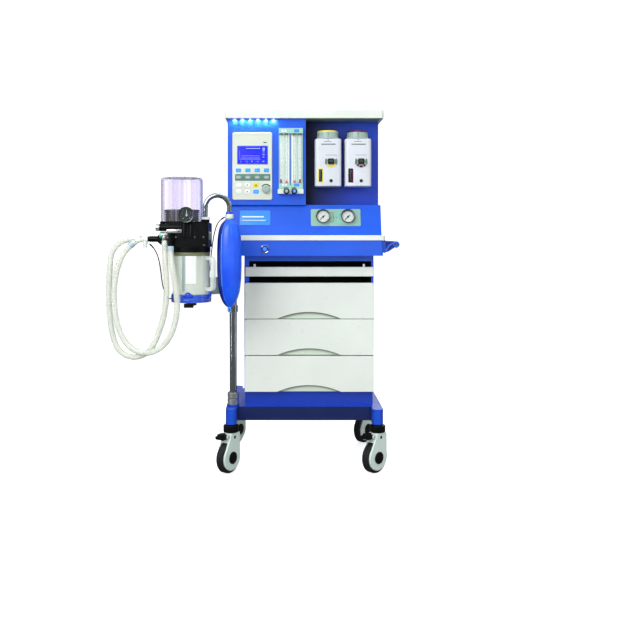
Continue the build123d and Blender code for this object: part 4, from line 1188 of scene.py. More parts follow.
latch_parts = [(latch_frame, plate(22, 31, 3.0, 3)), (shifted(latch_frame, 0, 4, 3), plate(10, 18, 4.5, 4))]
latch_parts.append((shifted(latch_frame, 0, -9, 3), turned([(4, 0), (4, 2), (3, 3)], 24)))
build("block_side_latch", "absorber", "chrome", silver, latch_parts)
port_profile = [(9.6, 0), (16.5, 0), (17.6, 1.2), (17.6, 8.8), (16.5, 10.2), (9.6, 10.2)]
build(
    "bag_port_collar", "absorber", "white_plastic", white_plastic,
    [(place(-380, -420, 1010, 0, 0), collar(port_profile))],
)
tip_parts = [(place(-612.5, -470, 937, -90), turned([(8, 0), (10.9, 0.8), (10.9, 3.4), (8.5, 4.4)], 36))]
build("y_piece_end_cap", "absorber", "black_plastic", black_plastic, tip_parts)

turret_end = place(-545.7, -475, 980, -90)
knurl_parts = teeth(turret_end, 24, 12.5, 1.5, plate(1.1, 1.6, 10, 0.4, 0.3))
knurl_parts.append((shifted(turret_end, z=13.8), turned([(8.5, 0), (8.5, 0.5), (7.5, 0.9), (1, 0.9)], 36)))
build("apl_knob_knurls", "apl_knob", "chrome", steel, knurl_parts)

# ---- gauges ----------------------------------------------------------------------------------


def gauge_face(name, face, body, floor, depth, card, tick_ink, bands, numerals, radius=28.5, size=4.2):
    """A dial card with its scale, a rolled rim and a lens, on a CAD gauge case."""
    inner = radius - 3.2
    card_z = floor + 0.05
    build(
        f"{name}_card", body, "white_plastic", card,
        [(shifted(face, z=card_z), turned([(inner, 0), (inner, 0.4), (1.7, 0.4)], 64))],
    )
    scale = []
    for step in range(41):
        angle = 225 - 270 * step / 40
        reach = 3.4 if step % 4 == 0 else 1.9
        spot = shifted(face, z=card_z + 0.4, turn=angle)
        scale.append(
            (
                shifted(spot, inner - 2.2 - reach / 2),
                plate(reach, 0.55 if step % 4 == 0 else 0.35, 0.15, 0.1, 0.05),
            )
        )
    for step, text in enumerate(numerals):
        angle = math.radians(225 - 270 * step / (len(numerals) - 1))
        x, y = (inner - 8.8) * math.cos(angle), (inner - 8.8) * math.sin(angle)
        scale.append((shifted(face, z=card_z + 0.45), digits(text, size, x, y)))
    build(f"{name}_scale", body, "black_plastic", tick_ink, scale)
    for tag, tone, start, end in bands:
        strip = arc_band(inner - 1.9, inner - 0.6, start, end, 0.2, 28)
        build(f"{name}_band_{tag}", body, "red_plastic", tone, [(shifted(face, z=card_z + 0.4), strip)])
    rim = [
        (radius - 3, depth - 2.5), (radius + 0.4, depth - 3.0), (radius + 1.2, depth - 1.4),
        (radius + 0.9, depth + 0.2),
    ]
    rim += [(radius - 0.6, depth + 1.1), (radius - 2.4, depth + 0.6), (radius - 3.4, depth - 1.0)]
    build(f"{name}_rim", body, "chrome", smoked_rim, [(face, collar(rim, 72))])
    throat = [
        (radius - 3.4, floor), (radius - 2.2, floor), (radius - 2.2, depth - 1.6),
        (radius - 3.4, depth - 1.6),
    ]
    build(f"{name}_throat", body, "black_plastic", ink, [(face, collar(throat, 72))])
    glass = [
        (radius - 3.2, depth - 2.4), (radius - 3.2, depth - 1.5), (radius - 8, depth - 1.1),
        (1, depth - 0.9),
    ]
    build(f"{name}_lens", body, "clear_plastic", lens, [(face, turned(glass, 64))])


console_low, console_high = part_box("gas_console")
CONSOLE_SET_BACK = 0.038  # how far the top of its face lies behind the foot
CONSOLE_LEAN = math.degrees(math.atan2(CONSOLE_SET_BACK, console_high.z - console_low.z))
slope_foot = Vector(((console_low.x + console_high.x) / 2, console_low.y, console_low.z))
slope = local(slope_foot, 0, 90 - CONSOLE_LEAN)  # x from the middle of the console, y up its sloping face
GAUGES = {"pipeline": (76.0, red, 120, 225), "cylinder": (176.6, blue_ink, -45, 130)}  # x, band, its ends
GAUGE_FLOOR, GAUGE_UP = 4.0, 76.4
TENS = ("0", "2", "4", "6", "8", "10")
for gauge_name, (gauge_x, band_tone, band_start, band_end) in GAUGES.items():
    gauge_frame = shifted(slope, gauge_x, GAUGE_UP)
    bands = [("arc", band_tone, band_start, band_end)]
    gauge_face(f"gauge_{gauge_name}", gauge_frame, "root", GAUGE_FLOOR, 17.0, dial_white, ink, bands, TENS)
manometer_frame = place(-443.3, -481, 1026.5)
bands = [("green", green, 60, 130), ("yellow", yellow, 20, 60), ("red", red, -45, 20)]
MARKS = ("0", "2", "4", "6", "8")
gauge_face("manometer", manometer_frame, "absorber", 4.0, 28.0, dial_black, white_ink, bands, MARKS)

# ---- plates on the gas console ---------------------------------------------------------------

fixed("name_plate_blank", "blue_plastic", light_blue, shifted(slope, -199, 73.8), plate(123, 61.7, 1.2, 4))
name_bars = [moved(plate(88, 5.5, 0.3, 1.5, 0.1), -207, 78), moved(plate(96, 2.6, 0.3, 1.0, 0.1), -203, 63)]
fixed("name_plate_bars", "white_plastic", white_ink, shifted(slope, z=1.2), *name_bars)
gauge_plate = plastic("gauge_plate_sage", colour(142, 186, 168), 0.42)
fixed("gauge_plate", "grey_plastic", gauge_plate, shifted(slope, 126.9, 74.8), plate(200.6, 72, 1.5, 4))


def bracket(side, x, reach, tone, name):
    """A printed bracket beside a gauge, open towards it."""
    ends = [(x - side * reach, 95.5), (x, 95.5), (x, 55.5), (x - side * reach, 55.5)]
    lines = [stroke(a, b, 2.2, 0.25) for a, b in zip(ends, ends[1:])]
    corners = [moved(turned([(1.1, 0), (1.1, 0.25)], 16), *corner) for corner in ends[1:3]]
    fixed(name, "grey_plastic", tone, shifted(slope, z=1.5), *lines, *corners)


bracket(1, 117.0, 16, slate, "gauge_bracket_left")
bracket(-1, 136.0, 12, cyan_ink, "gauge_bracket_right")
marks = at_each(plate(4.2, 4.2, 0.25, 0.4, 0.1), [(x, 75.5, 1.5, 45) for x in (121, 132)])
fixed("gauge_bracket_marks", "black_plastic", slate, slope, *marks)

# ---- oxygen flush ----------------------------------------------------------------------------

flush_frame = face_of("oxygen_flush_button", on="apron_box")
flush_profile = [(11.6, -1), (17.6, -2.9), (17.6, -1), (16.8, 1.4), (14.8, 2.4), (12.4, 1.6), (11.6, 0)]
fixed("flush_bezel", "chrome", chrome, flush_frame, collar(flush_profile, 64))
dish = turned([(7.6, -0.6), (7.6, 0.35), (6.6, 0.6), (3.5, 0.25), (0.5, 0.1)], 48)
cap_parts = [(face_of("oxygen_flush_button"), dish)]
build("flush_button_cap", "oxygen_flush_button", "blue_plastic", key_blue, cap_parts)

lamp_green = plastic("lamp_dark_green", colour(52, 78, 48), 0.3, coat=0.3)
cream_shade = plastic("cream_shade", colour(188, 202, 190), 0.45)

# ---- ventilator control panel ----------------------------------------------------------------

panel = face_of("control_panel")
SCREEN = (1.15, 44.0, 120.0, 71.0)  # centre and size of the recess in the CAD panel
KEY_X = (-55.3, -17.8, 20.3, 57.5)


def screen():
    """The lit display in its recess, with a generic trace, number fields and a bar row."""
    x, y, width, height = SCREEN
    glass = plate(width - 0.6, height - 0.6, 1.0, 1.0)
    fixed("display_glass", "clear_glass", display_glass, shifted(panel, x, y, -2.0), glass)
    top = shifted(panel, x, y, -1.0)
    marks = []
    for base, swing, pitch in ((-3.0, 2.2, 13.0), (-12.0, 4.0, 8.0)):
        points = []
        for i in range(66):
            across = -46 + i * 1.15
            phase = (across / pitch) % 1.0
            lift = swing * (math.exp(-(((phase - 0.35) / 0.16) ** 2)) - 0.3)
            points.append((across, base + lift))
        marks += [stroke(a, b, 0.7, 0.15) for a, b in zip(points, points[1:])]
    for row in (27, 20.5):
        marks.append(moved(plate(9, 3.6, 0.15, 0.5, 0.05), 45, row))
    for column in range(7):
        marks.append(moved(plate(5.2, 3.0, 0.15, 0.5, 0.05), -22 + 8.2 * column, 27))
    for text, row in (("12", 13), ("450", 2), ("15", -8)):
        marks.append(digits(text, 7.5, 44, row))
    for column, text in enumerate(("5", "12", "30", "16", "100")):
        marks.append(digits(text, 7.0, -47 + 22.5 * column, -26))
    marks.append(stroke((-52, 17), (-52, -18), 0.5, 0.15))
    marks.append(stroke((-52, -18), (32, -18), 0.5, 0.15))
    fixed("display_marks", "clear_glass", display_ink, top, *marks)
    surround = bezel(width + 5, height + 5, 1.2, 2.6, 2.5)
    fixed("display_bezel", "grey_plastic", slate, shifted(panel, x, y, -0.6), surround)


screen()
fixed("panel_border", "white_plastic", cream_plastic, shifted(panel, z=-0.3), bezel(156, 268, 1.1, 3.2, 9))


def on_panel(tag, slot, finish, shape, *spots):
    """A piece of the control panel: one shape at (x, y, z, turn) spots of its face."""
    fixed(f"panel_{tag}", slot, finish, panel, *at_each(shape, spots))


KEY_ROW, STRIP_ROW = -17.2, -45.8
ROUND_KEYS = [(x, y) for x in (-54.7, -20.0) for y in (-77.0, -103.6)]
arrow = skin([[(-4.6, -2.6, z), (4.6, -2.6, z), (0, 4.2, z)] for z in (0, 0.25)])
on_panel("lamp", "grey_plastic", lamp_green, plate(13.4, 4, 0.5, 1.6, 0.2), (51.7, 94.8, 0.3))
on_panel("lamp_outline", "white_plastic", cream_shade, bezel(20, 15, 0.35, 0.9, 2.5), (51.7, 94.8))
key = plate(21, 14.8, 1.6, 2.8, 0.8)
on_panel("top_keys", "blue_plastic", key_blue, key, *[(x, KEY_ROW) for x in KEY_X])
key = plate(11, 2.0, 0.15, 0.8, 0.05)
on_panel("top_key_marks", "white_plastic", cyan_ink, key, *[(x, KEY_ROW, 1.6) for x in KEY_X])
on_panel("slate_strip", "grey_plastic", slate, plate(142.4, 27.5, 0.9, 2), (2.1, STRIP_ROW))
key = plate(21, 12, 0.9, 4, 0.6)
on_panel("strip_keys", "grey_plastic", key_grey, key, *[(x, STRIP_ROW, 0.9) for x in KEY_X])
key = plate(9, 4.5, 0.15, 1.8, 0.05)
on_panel("strip_key_marks", "white_plastic", cream_shade, key, *[(x, STRIP_ROW, 1.8) for x in KEY_X])
on_panel("round_keys", "white_plastic", key_white, plate(23, 19, 1.0, 8, 0.8), *ROUND_KEYS)
key = bezel(25.5, 21.5, 0.6, 0.9, 9.2)
on_panel("round_key_rims", "white_plastic", cream_shade, key, *[(x, y, -0.2) for x, y in ROUND_KEYS])
on_panel("arrows", "blue_plastic", key_blue, arrow, (-20.0, -77.0, 1.0), (-20.0, -103.6, 1.0, 180))
key = bezel(9, 6, 0.15, 0.7, 1)
on_panel("outlines", "white_plastic", cream_shade, key, *[(x, y, 1.0) for x, y in ROUND_KEYS[:2]])
on_panel("alarm_key", "red_plastic", key_yellow, plate(22, 17, 1.6, 2.8, 0.8), (15.5, -77))
bell = [moved(plate(9, 1.8, 0.2, 0.6, 0.05), 15.5, -80.5), moved(plate(6, 7, 0.2, 2.8, 0.05), 15.5, -76.5)]
fixed("panel_alarm_key_mark", "black_plastic", olive, shifted(panel, z=1.6), *bell)
on_panel("confirm_key", "blue_plastic", key_blue, plate(22, 15.5, 1.6, 2.8, 0.8), (15.5, -103.8))
on_panel("confirm_key_mark", "white_plastic", cyan_ink, plate(8, 4, 0.2, 1.2, 0.05), (15.5, -103.8, 1.6))
knob_base = face_of("control_knob", on="control_panel")
knob_front = face_of("control_knob")
fixed("panel_knob_arc", "black_plastic", ink, knob_base, arc_band(17.5, 21.5, 35, 148, 0.5, 28))
fixed(
    "panel_knob_dot", "black_plastic", ink, shifted(knob_base, 3, -19), turned([(1.8, 0), (1.8, 0.4)], 20),
)
ridges = teeth(knob_front, 28, 14.9, -12, plate(1.3, 1.7, 10.5, 0.4, 0.3))
ridges.append((knob_front, turned([(11.5, -0.4), (11.5, 0.5), (10.6, 0.9), (4, 0.7), (0.5, 0.7)], 48)))
build("control_knob_grip", "control_knob", "grey_plastic", dial_grey, ridges)
knob_mark = [(shifted(knob_front, 0, 7.2, 0.8), plate(1.6, 5, 0.3, 0.7, 0.1))]
build("control_knob_mark", "control_knob", "black_plastic", ink, knob_mark)

# ---- flowmeter bank --------------------------------------------------------------------------

flow = face_of("flow_block")
TUBE_X = (-38.45, -16.55, 15.75, 37.65)
TUBE_Z = (-89.5, 110.5)
TUBE_DEPTH = -8.2
card = plastic("flow_card", colour(176, 210, 196), 0.4)
white_card = plastic("flow_white_card", colour(238, 244, 240), 0.4)
CARD_Y, CARD_Z, STRIP_Z = 10.5, -15, -14.4  # height and depths of the cards behind the tubes
cards = [
    moved(plate(width, 200, 0.8, 0.5, 0.1), x, CARD_Y, CARD_Z)
    for x, width in ((-24.7, 43.6), (25.5, 45.8))
]
fixed("flow_scale_cards", "grey_plastic", card, flow, *cards)
STRIPS = ((-35.6, 15), (-14.2, 20), (14.6, 18.6), (36.4, 13.4))
strips = [moved(plate(width, 200, 0.7, 0.5, 0.1), x, CARD_Y, STRIP_Z) for x, width in STRIPS]
fixed("flow_white_strips", "white_plastic", white_card, flow, *strips)
centre_strip = plate(4.6, 200, 2.2, 0.5)
fixed("flow_centre_strip", "blue_plastic", blue_plastic, shifted(flow, -2.2, CARD_Y, CARD_Z), centre_strip)
edges = at_each(plate(1.2, 200, 1.6, 0.5, 0.2), [(x, CARD_Y, STRIP_Z) for x in (-45.6, 47.6)])
fixed("flow_card_edges", "grey_plastic", mint_grey, flow, *edges)
seat_olive = plastic("tube_seat_olive", colour(70, 82, 66), 0.5)
float_maroon = plastic("float_maroon", colour(170, 44, 92), 0.3, coat=0.3)
float_pink = plastic("float_pink", colour(232, 112, 150), 0.3, coat=0.3)
ticks = []
for tube, x in enumerate(TUBE_X):
    spacing = 6.0 if tube in (0, 3) else 15.0
    outer = -4.6 if tube in (0, 1) else 4.6
    for step in range(int(184 / spacing)):
        y = TUBE_Z[0] + 10 + step * spacing
        reach = 3.4 if step % 5 == 0 else 2.2
        ticks.append(moved(plate(reach, 0.7, 0.15, 0.1, 0.05), x + outer, y))
        if step % 5 == 0 and tube in (0, 3):
            ticks.append(digits(str(step // 5), 4.2, x - outer * 2.2, y))
fixed("flow_scale_ticks", "black_plastic", bar_ink, shifted(flow, z=-13.6), *ticks)
marks = []
for x in TUBE_X:
    for step in range(11):
        mark = plate(4.4 if step % 2 else 2.6, 0.8, 0.15, 0.2, 0.05)
        marks.append(moved(mark, x, TUBE_Z[0] + 14 + step * 17))
fixed("flow_tube_marks", "black_plastic", slate, shifted(flow, z=TUBE_DEPTH + 6.4), *marks)
seat_parts = []
for x in TUBE_X:
    for z, height in ((TUBE_Z[0] - 0.5, 1.6), (TUBE_Z[1] - 5, 5)):
        profile = [(6.6, 0), (7.6, 0), (7.6, height - 0.6), (7.2, height), (6.6, height)]
        seat_parts.append((local(flow @ Vector((x, z, TUBE_DEPTH)), 0, 0), collar(profile, 32)))
build("flow_tube_seats", "root", "black_plastic", seat_olive, seat_parts)
BOBS = (("outer", float_maroon, 3.3, 13.5, (0, 3)), ("inner", float_pink, 1.9, 9.5, (1, 2)))
for tag, tone, radius, height, columns in BOBS:
    profile = [(radius * 0.4, 0), (radius, 1.6), (radius * 0.8, height * 0.5)]
    profile += [(radius, height - 1.6), (radius, height), (0.3, height)]
    feet = [flow @ Vector((TUBE_X[k], TUBE_Z[0] + 2.5, TUBE_DEPTH)) for k in columns]
    bobs = [(local(foot, 0, 0), turned(profile, 28)) for foot in feet]
    build(f"flow_bobs_{tag}", "flow_floats", "red_plastic", tone, bobs)
AIR_LABELS, OXYGEN_LABELS = ((-26.3, 120.5), (-25, -96.5)), ((24, 120.5), (24.5, -96.5))
labels = [moved(plate(19, high, 0.5, 1.5, 0.1), *spot) for high, spot in zip((9, 8), AIR_LABELS)]
fixed("flow_labels_air", "white_plastic", key_white, flow, *labels)
labels = [moved(plate(21, high, 0.5, 1.5, 0.1), *spot) for high, spot in zip((12, 11), OXYGEN_LABELS)]
fixed("flow_labels_oxygen", "blue_plastic", key_blue, flow, *labels)
bars = at_each(plate(10, 2.2, 0.15, 0.6, 0.05), AIR_LABELS + OXYGEN_LABELS)
fixed("flow_label_bars", "black_plastic", grey_ink, shifted(flow, z=0.5), *bars)
arc_parts = []
for knob in ("flow_knob_air", "flow_knob_oxygen"):
    base = face_of(knob, on="flow_block")
    front = face_of(knob)
    end = math.radians(125)
    arc_parts.append((base, arc_band(15.0, 17.0, 55, 125, 0.4, 16)))
    arc_parts.append(
        (shifted(base, 16 * math.cos(end), 16 * math.sin(end), 0, 45), plate(4, 4, 0.4, 0.3, 0.1))
    )
    tone, slot_name = (key_grey, "grey_plastic") if knob.endswith("air") else (key_blue, "blue_plastic")
    cap = turned([(6.8, -0.5), (6.8, 0.4), (6.0, 0.8), (1, 0.6)], 40)
    build(f"{knob}_cap", knob, slot_name, tone, [(front, cap)])
    mark = [(shifted(front, 0, 3.2, 0.7), plate(1.1, 3.4, 0.25, 0.4, 0.1))]
    build(f"{knob}_mark", knob, "white_plastic", white_ink, mark)
    grips = teeth(front, 20, 11.2, -18, plate(1.4, 1.9, 16.5, 0.5, 0.4))
    build(f"{knob}_grip", knob, "black_plastic", black_plastic, grips)
build("flow_knob_arcs", "root", "black_plastic", ink, arc_parts)
fixed("flow_link_mark", "black_plastic", slate, shifted(flow, -0.5, -94), plate(5, 9, 0.4, 1.5, 0.1))

# ---- vaporizers ------------------------------------------------------------------------------


def vaporizer_details(side, tone):
    """Raised centre panel, sight glass, lock wings, drain plug and dial markings of one vaporizer."""
    name, lock = f"vaporizer_{side}", f"vaporizer_lock_{side}"
    front = face_of(name)
    offset = (sum(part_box(lock), Vector()) - sum(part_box(name), Vector())) / 2 / MM
    lock_x, lock_y = offset.x, offset.z
    lock_frame = shifted(front, lock_x, lock_y - 1.5)

    def part(tag, slot, finish, frame_at, *shapes):
        fixed(f"{name}_{tag}", slot, finish, frame_at, *shapes)

    raised = [
        moved(plate(49, high, 1.8, 2.5, 0.8), lock_x - 1, y, -0.5)
        for high, y in ((15.5, lock_y + 19.5), (71, lock_y - 62))
    ]
    part("centre_panel", "white_paint", white_paint, front, *raised)
    part(
        "rule", "grey_plastic", key_grey, shifted(front, lock_x - 1, lock_y + 26.0, 1.1),
        plate(46, 2.4, 0.5, 1.0, 0.1),
    )
    bars = [moved(plate(30, 2.2, 0.3, 0.8, 0.1), -2, 84), moved(plate(58, 4.4, 0.3, 1.4, 0.1), 1, 73)]
    part("printed_bars", "grey_plastic", bar_ink, front, *bars)
    wings = [arc_band(20.0, 25.0, start, start + 64, 4.0, 20) for start in (-30, 146)]
    wings += [arc_band(16.4, 19.0, start, start + 52, 5.2, 16) for start in (-24, 152)]
    part("lock_wings", "grey_plastic", slate, lock_frame, *wings)
    ears = [arc_band(14.6, 25.6, start, start + 76, 1.6, 24) for start in (-36, 140)]
    part("lock_ears", "white_plastic", key_white, lock_frame, *ears)
    arcs = [
        arc_band(15.5, 23.5, start, end, 3.0, 12)
        for start, end in ((216, 241), (250, 290), (299, 324))
    ]
    part("lock_arc", "red_plastic", tone, shifted(lock_frame, 0, 1.0), *arcs)
    lock_front = face_of(lock)
    cap = [
        (lock_front, bezel(24, 22, 0.9, 2.6, 5.5)),
        (shifted(lock_front, 0, 1.5), plate(15, 11, 0.8, 3.5, 0.5)),
    ]
    build(f"{name}_lock_cap", lock, "grey_plastic", lock_green, cap)
    glass_frame = shifted(front, -30.5, -52.8)
    part("sight_frame", "red_plastic", tone, shifted(glass_frame, z=-0.8), bezel(20, 57, 2.6, 3.4, 3))
    part(
        "sight_back", "black_plastic", black_plastic, shifted(glass_frame, z=-0.8),
        plate(14, 51, 1.2, 1.5, 0.2),
    )
    part(
        "sight_tube", "clear_glass", sight_grey, shifted(glass_frame, z=0.2), plate(4.6, 46, 1.4, 2.2, 0.6),
    )
    level = at_each(plate(2.2, 0.7, 0.2, 0.2, 0.05), [(4.4, y, 0.4) for y in (-18, 18)])
    part("sight_marks", "white_plastic", white_ink, glass_frame, *level)
    plug = turned([(7.2, 0), (7.2, 1.0), (6.2, 2.0), (3.4, 2.0), (3.0, 0.9)], 8)
    part("drain_plug", "black_plastic", drain_dark, shifted(front, lock_x, -74, 1.2), plug)
    nub = turned([(3.4, 0), (3.4, 2.9), (2.2, 3.9)], 24)
    part("bottom_nub", "grey_plastic", dial_grey, shifted(front, lock_x - 1, -94, -1.5), nub)
    # A grey plate in the bottom notch: painted shade in the recess.
    notch = plate(41, 3.4, 1.5, 1.4, 0.3)
    part("bottom_notch_shade", "grey_plastic", key_grey, shifted(front, lock_x - 1, -94.2, -0.6), notch)

    dial = f"vaporizer_dial_{side}"
    dial_low, dial_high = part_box(dial)
    axis = Vector(((dial_low.x + dial_high.x) / 2, (dial_low.y + dial_high.y) / 2, dial_high.z))
    top = local(axis, 0, 0)
    ring_profile = [
        (38, -0.8), (41.9, -6.4), (43.1, -6.0), (42.6, -1.6), (41.0, 0.3), (38, 0.6), (30, 0.2), (29, -0.8),
    ]
    build(f"{dial}_code_ring", dial, "red_plastic", tone, [(top, collar(ring_profile, 96))])
    grip = teeth(top, 60, 43.2, -31.0, plate(1.0, 2.0, 6.0, 0.4, 0.4))
    del grip[43:48]  # the gap at the front, under the index
    build(f"{dial}_grip", dial, "grey_plastic", dial_grey, grip)
    numerals = []
    for k in range(9):
        angle = math.radians(270 - 30 * k)
        out = Vector((math.cos(angle), math.sin(angle), 0))
        turn = math.degrees(angle) + 90
        numerals.append(
            (local(axis + out * 42.85 * MM + Vector((0, 0, -0.0150)), turn), digits(str(k), 9.5))
        )
        tick = local(axis + out * 43.3 * MM + Vector((0, 0, -0.0235)), turn)
        numerals.append((tick, plate(1.6 if k == 0 else 0.9, 4.0, 0.4, 0.2, 0.1)))
    build(f"{dial}_numerals", dial, "black_plastic", ink, numerals)
    pointer = skin(
        [[(-2.4, 0, 0), (2.4, 0, 0), (0, 4.6, 0)], [(-2.4, 0, 0.4), (2.4, 0, 0.4), (0, 4.6, 0.4)]]
    )
    part("index", "black_plastic", ink, shifted(front, 0, 89.5), pointer)


lock_green = plastic("lock_dark_green", colour(52, 66, 54), 0.35, coat=0.3)
sight_grey = plastic("sight_tube_grey", colour(64, 78, 78), 0.15, coat=0.6)
drain_dark = plastic("drain_plug_dark", colour(30, 40, 42), 0.35)
vaporizer_details("left", yellow)
vaporizer_details("right", maroon)

# ---- shelf lamps and head trim ---------------------------------------------------------------

shelf_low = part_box("top_shelf")[0]
LAMP_SPOTS = [Vector((at(-281 + 31.4 * k, 0, 0).x, shelf_low.y + 0.011, shelf_low.z)) for k in range(6)]
lamp_parts, lamp_seats = [], []
for spot in LAMP_SPOTS:
    under = local(spot, 0, 180)
    lamp_parts.append((under, turned([(4.2, -0.5), (4.2, 0.6), (3.0, 1.8), (0.8, 2.2)], 24)))
    lamp_seats.append((under, collar([(4.3, -0.4), (5.8, -0.4), (5.8, 0.8), (4.3, 0.8)], 24)))
build("shelf_lamps", "root", "clear_plastic", lamp_cyan, lamp_parts)
build("shelf_lamp_seats", "root", "chrome", silver, lamp_seats)
# A grey sheet under the shelf over the bay: painted shade on the shelf's white underside.
underside = plastic("shelf_underside_painted_shade", colour(118, 143, 137), 0.5)
bay_back = at(0, -130, 0).y
shade_sheet_at = local(Vector((at(158, 0, 0).x, (bay_back + shelf_low.y) / 2, shelf_low.z)), 0, 180)
ceiling = plate(296, (bay_back - shelf_low.y) / MM - 8, 1.0, 2, 0.3)
fixed("bay_ceiling_painted_shade", "grey_plastic", underside, shade_sheet_at, ceiling)

# ---- handle, casters -------------------------------------------------------------------------

handle_low, handle_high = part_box("push_handle")
HANDLE_ENDS = (("front", handle_low.y, 0, 1), ("rear", handle_high.y, 180, -1))


def handle_end(y, turn):
    """The frame at an end of the handle's rail."""
    return local(Vector((at(367, 0, 0).x, y, at(0, 0, 914).z)), turn)


screw = turned([(6.2, -1), (6.2, 0.8), (5.2, 1.8), (3.0, 1.8), (2.6, 0.5)], 32)
for tag, y, turn, _ in HANDLE_ENDS:
    fixed(f"handle_screw_{tag}", "chrome", steel, handle_end(y, turn), screw)
plate_parts = [(place(321, y, 905.5, 90), plate(30, 51, 1.4, 3)) for y in (-249, 125)]
build("handle_mount_plates", "root", "chrome", steel, plate_parts)
WEB_OUTLINE = ((-43, 11), (-2, 11), (-9, -11), (-41, -28))
# Painted shade and highlight: the web is the handle's blue drawn dark navy, and the rib is the same blue
# drawn lighter.
web_painted_shade = painted("handle_web_painted_shade", colour(6, 30, 130))
rib_painted_highlight = painted("handle_rib_painted_highlight", colour(30, 110, 236))
RIB_ENDS, RIB_BEND = ((-41, -28), (-7, 7)), (-33, 2)  # a curved rib from the web's foot to the rail


def rib_point(t, axis):
    """One coordinate of the rib's curve, a Bezier of its ends and bend."""
    (start, end), bend = (corner[axis] for corner in RIB_ENDS), RIB_BEND[axis]
    return start * (1 - t) ** 2 + 2 * bend * t * (1 - t) + end * t * t


for tag, y, turn, way in HANDLE_ENDS:
    side = handle_end(y, turn)
    web = skin([[(way * px, py, z) for px, py in WEB_OUTLINE] for z in (-0.5, 0.5)])
    fixed(f"handle_web_{tag}", "blue_paint", web_painted_shade, side, web)
    route = [(way * rib_point(step / 12, 0), rib_point(step / 12, 1)) for step in range(13)]
    ribs = [stroke(a, b, 5.0, 2.4) for a, b in zip(route, route[1:])]
    ribs.append(collar([(8.5, -0.5), (12.6, -0.5), (12.6, 1.8), (11.8, 2.6), (9.3, 2.6), (8.5, 1.8)], 40))
    fixed(f"handle_rib_{tag}", "blue_paint", rib_painted_highlight, side, *ribs)

POLE_AXIS = (-290.0, -188.0)
for k, (z, height) in enumerate(((261, 24), (287, 23))):
    ring_profile = [
        (21, 0.6), (22.2, 0), (23.2, 1.2), (23.2, height - 1.2), (22.2, height), (21, height - 0.6),
    ]
    fixed(f"pole_collar_{k + 1}", "chrome", silver, place(*POLE_AXIS, z, 0, 0), collar(ring_profile, 72))
for tag, (x, *_) in GAUGES.items():
    dial = shifted(slope, x, GAUGE_UP, GAUGE_FLOOR + 2.6)
    hand = [
        (dial, stroke((-9.5, -8.5), (8.0, 7.2), 2.6, 0.6)),
        (dial, turned([(4.2, 0), (4.2, 1.2), (3.2, 1.8), (0.5, 2.0)], 32)),
    ]
    build(f"gauge_hand_{tag}", f"gauge_needle_{tag}", "black_plastic", ink, hand)

CASTERS = {  # machine X and Y of the stem, and the wheel's bearing in degrees
    "front_left": (-295, -238, 56),
    "front_right": (295, -238, 42),
    "rear_left": (-295, 238, 62),
    "rear_right": (295, 238, 50),
}
AXLE_HEIGHT, AXLE_TRAIL = 62.5, 0.018
eye_cap = turned([(6.4, -0.6), (6.4, 0.3), (5.2, 0.7), (0.6, 0.3)], 28)
hub_cap = turned([(22, -0.6), (22, 0.5), (20.5, 1.2), (9, 0.7), (6, 0.9), (0.5, 1.4)], 56)
tread_ring = collar([(61.5, -1.9), (62.62, -1.5), (62.62, 1.5), (61.5, 1.9)], 96)
pin_cap = turned([(3.6, -1), (3.6, 0.6), (2.6, 1.4)], 24)
BLOCK_RINGS = ((30, 20, 5, -10), (34, 24, 6, -8), (34, 24, 6, 8), (30, 20, 5, 10.5))
for caster, (x, y, bearing) in CASTERS.items():
    angle = math.radians(bearing)
    trail = Vector((-math.cos(angle), -math.sin(angle), 0))
    outward = Vector((math.sin(angle), -math.cos(angle), 0))
    axle = at(x, y, AXLE_HEIGHT) + trail * AXLE_TRAIL
    eyes, hubs, pins = [], [], []
    for way, turn in ((-1, bearing + 180), (1, bearing)):
        eyes.append((local(at(x, y, 142) + trail * 0.004 + outward * way * 0.0224, turn), eye_cap))
        hubs.append((local(axle + outward * way * 0.0257, turn), hub_cap))
        pins.append((local(at(x, y, 148.5) + trail * 0.040 + outward * way * 0.0195, turn), pin_cap))
    build(f"caster_eye_{caster}", f"caster_{caster}", "black_plastic", black_plastic, eyes)
    build(f"wheel_hub_trim_{caster}", f"wheel_{caster}", "black_plastic", black_plastic, hubs)
    tread = [(local(axle + outward * lane * MM, bearing), tread_ring) for lane in (-9.0, -3.0, 3.0, 9.0)]
    build(f"tyre_tread_{caster}", f"wheel_{caster}", "black_tyre", tyre, tread, 60)
    build(f"pedal_pin_{caster}", f"caster_{caster}", "chrome", steel, pins)
    pedal = at(x, y, 155.5) + trail * 0.062
    block = skin([round_rect(*outline) for outline in BLOCK_RINGS])
    block_parts = [(local(pedal + Vector((0, 0, -0.002)), bearing, 0), block)]
    build(f"pedal_block_{caster}", f"pedal_{caster}", "black_plastic", black_plastic, block_parts)
    ribs = []
    for k in range(4):
        rib_at = pedal + trail * (0.003 + 0.004 * k) + Vector((0, 0, -0.0015 + 0.0012 * k))
        ribs.append((local(rib_at, bearing - 90, 8), plate(1.6, 20, 1.1, 0.4, 0.4)))
    build(f"pedal_ribs_{caster}", f"pedal_{caster}", "black_plastic", black_plastic, ribs)

# ---- rear and side covers --------------------------------------------------------------------


LOUVRE_PITCH = 11


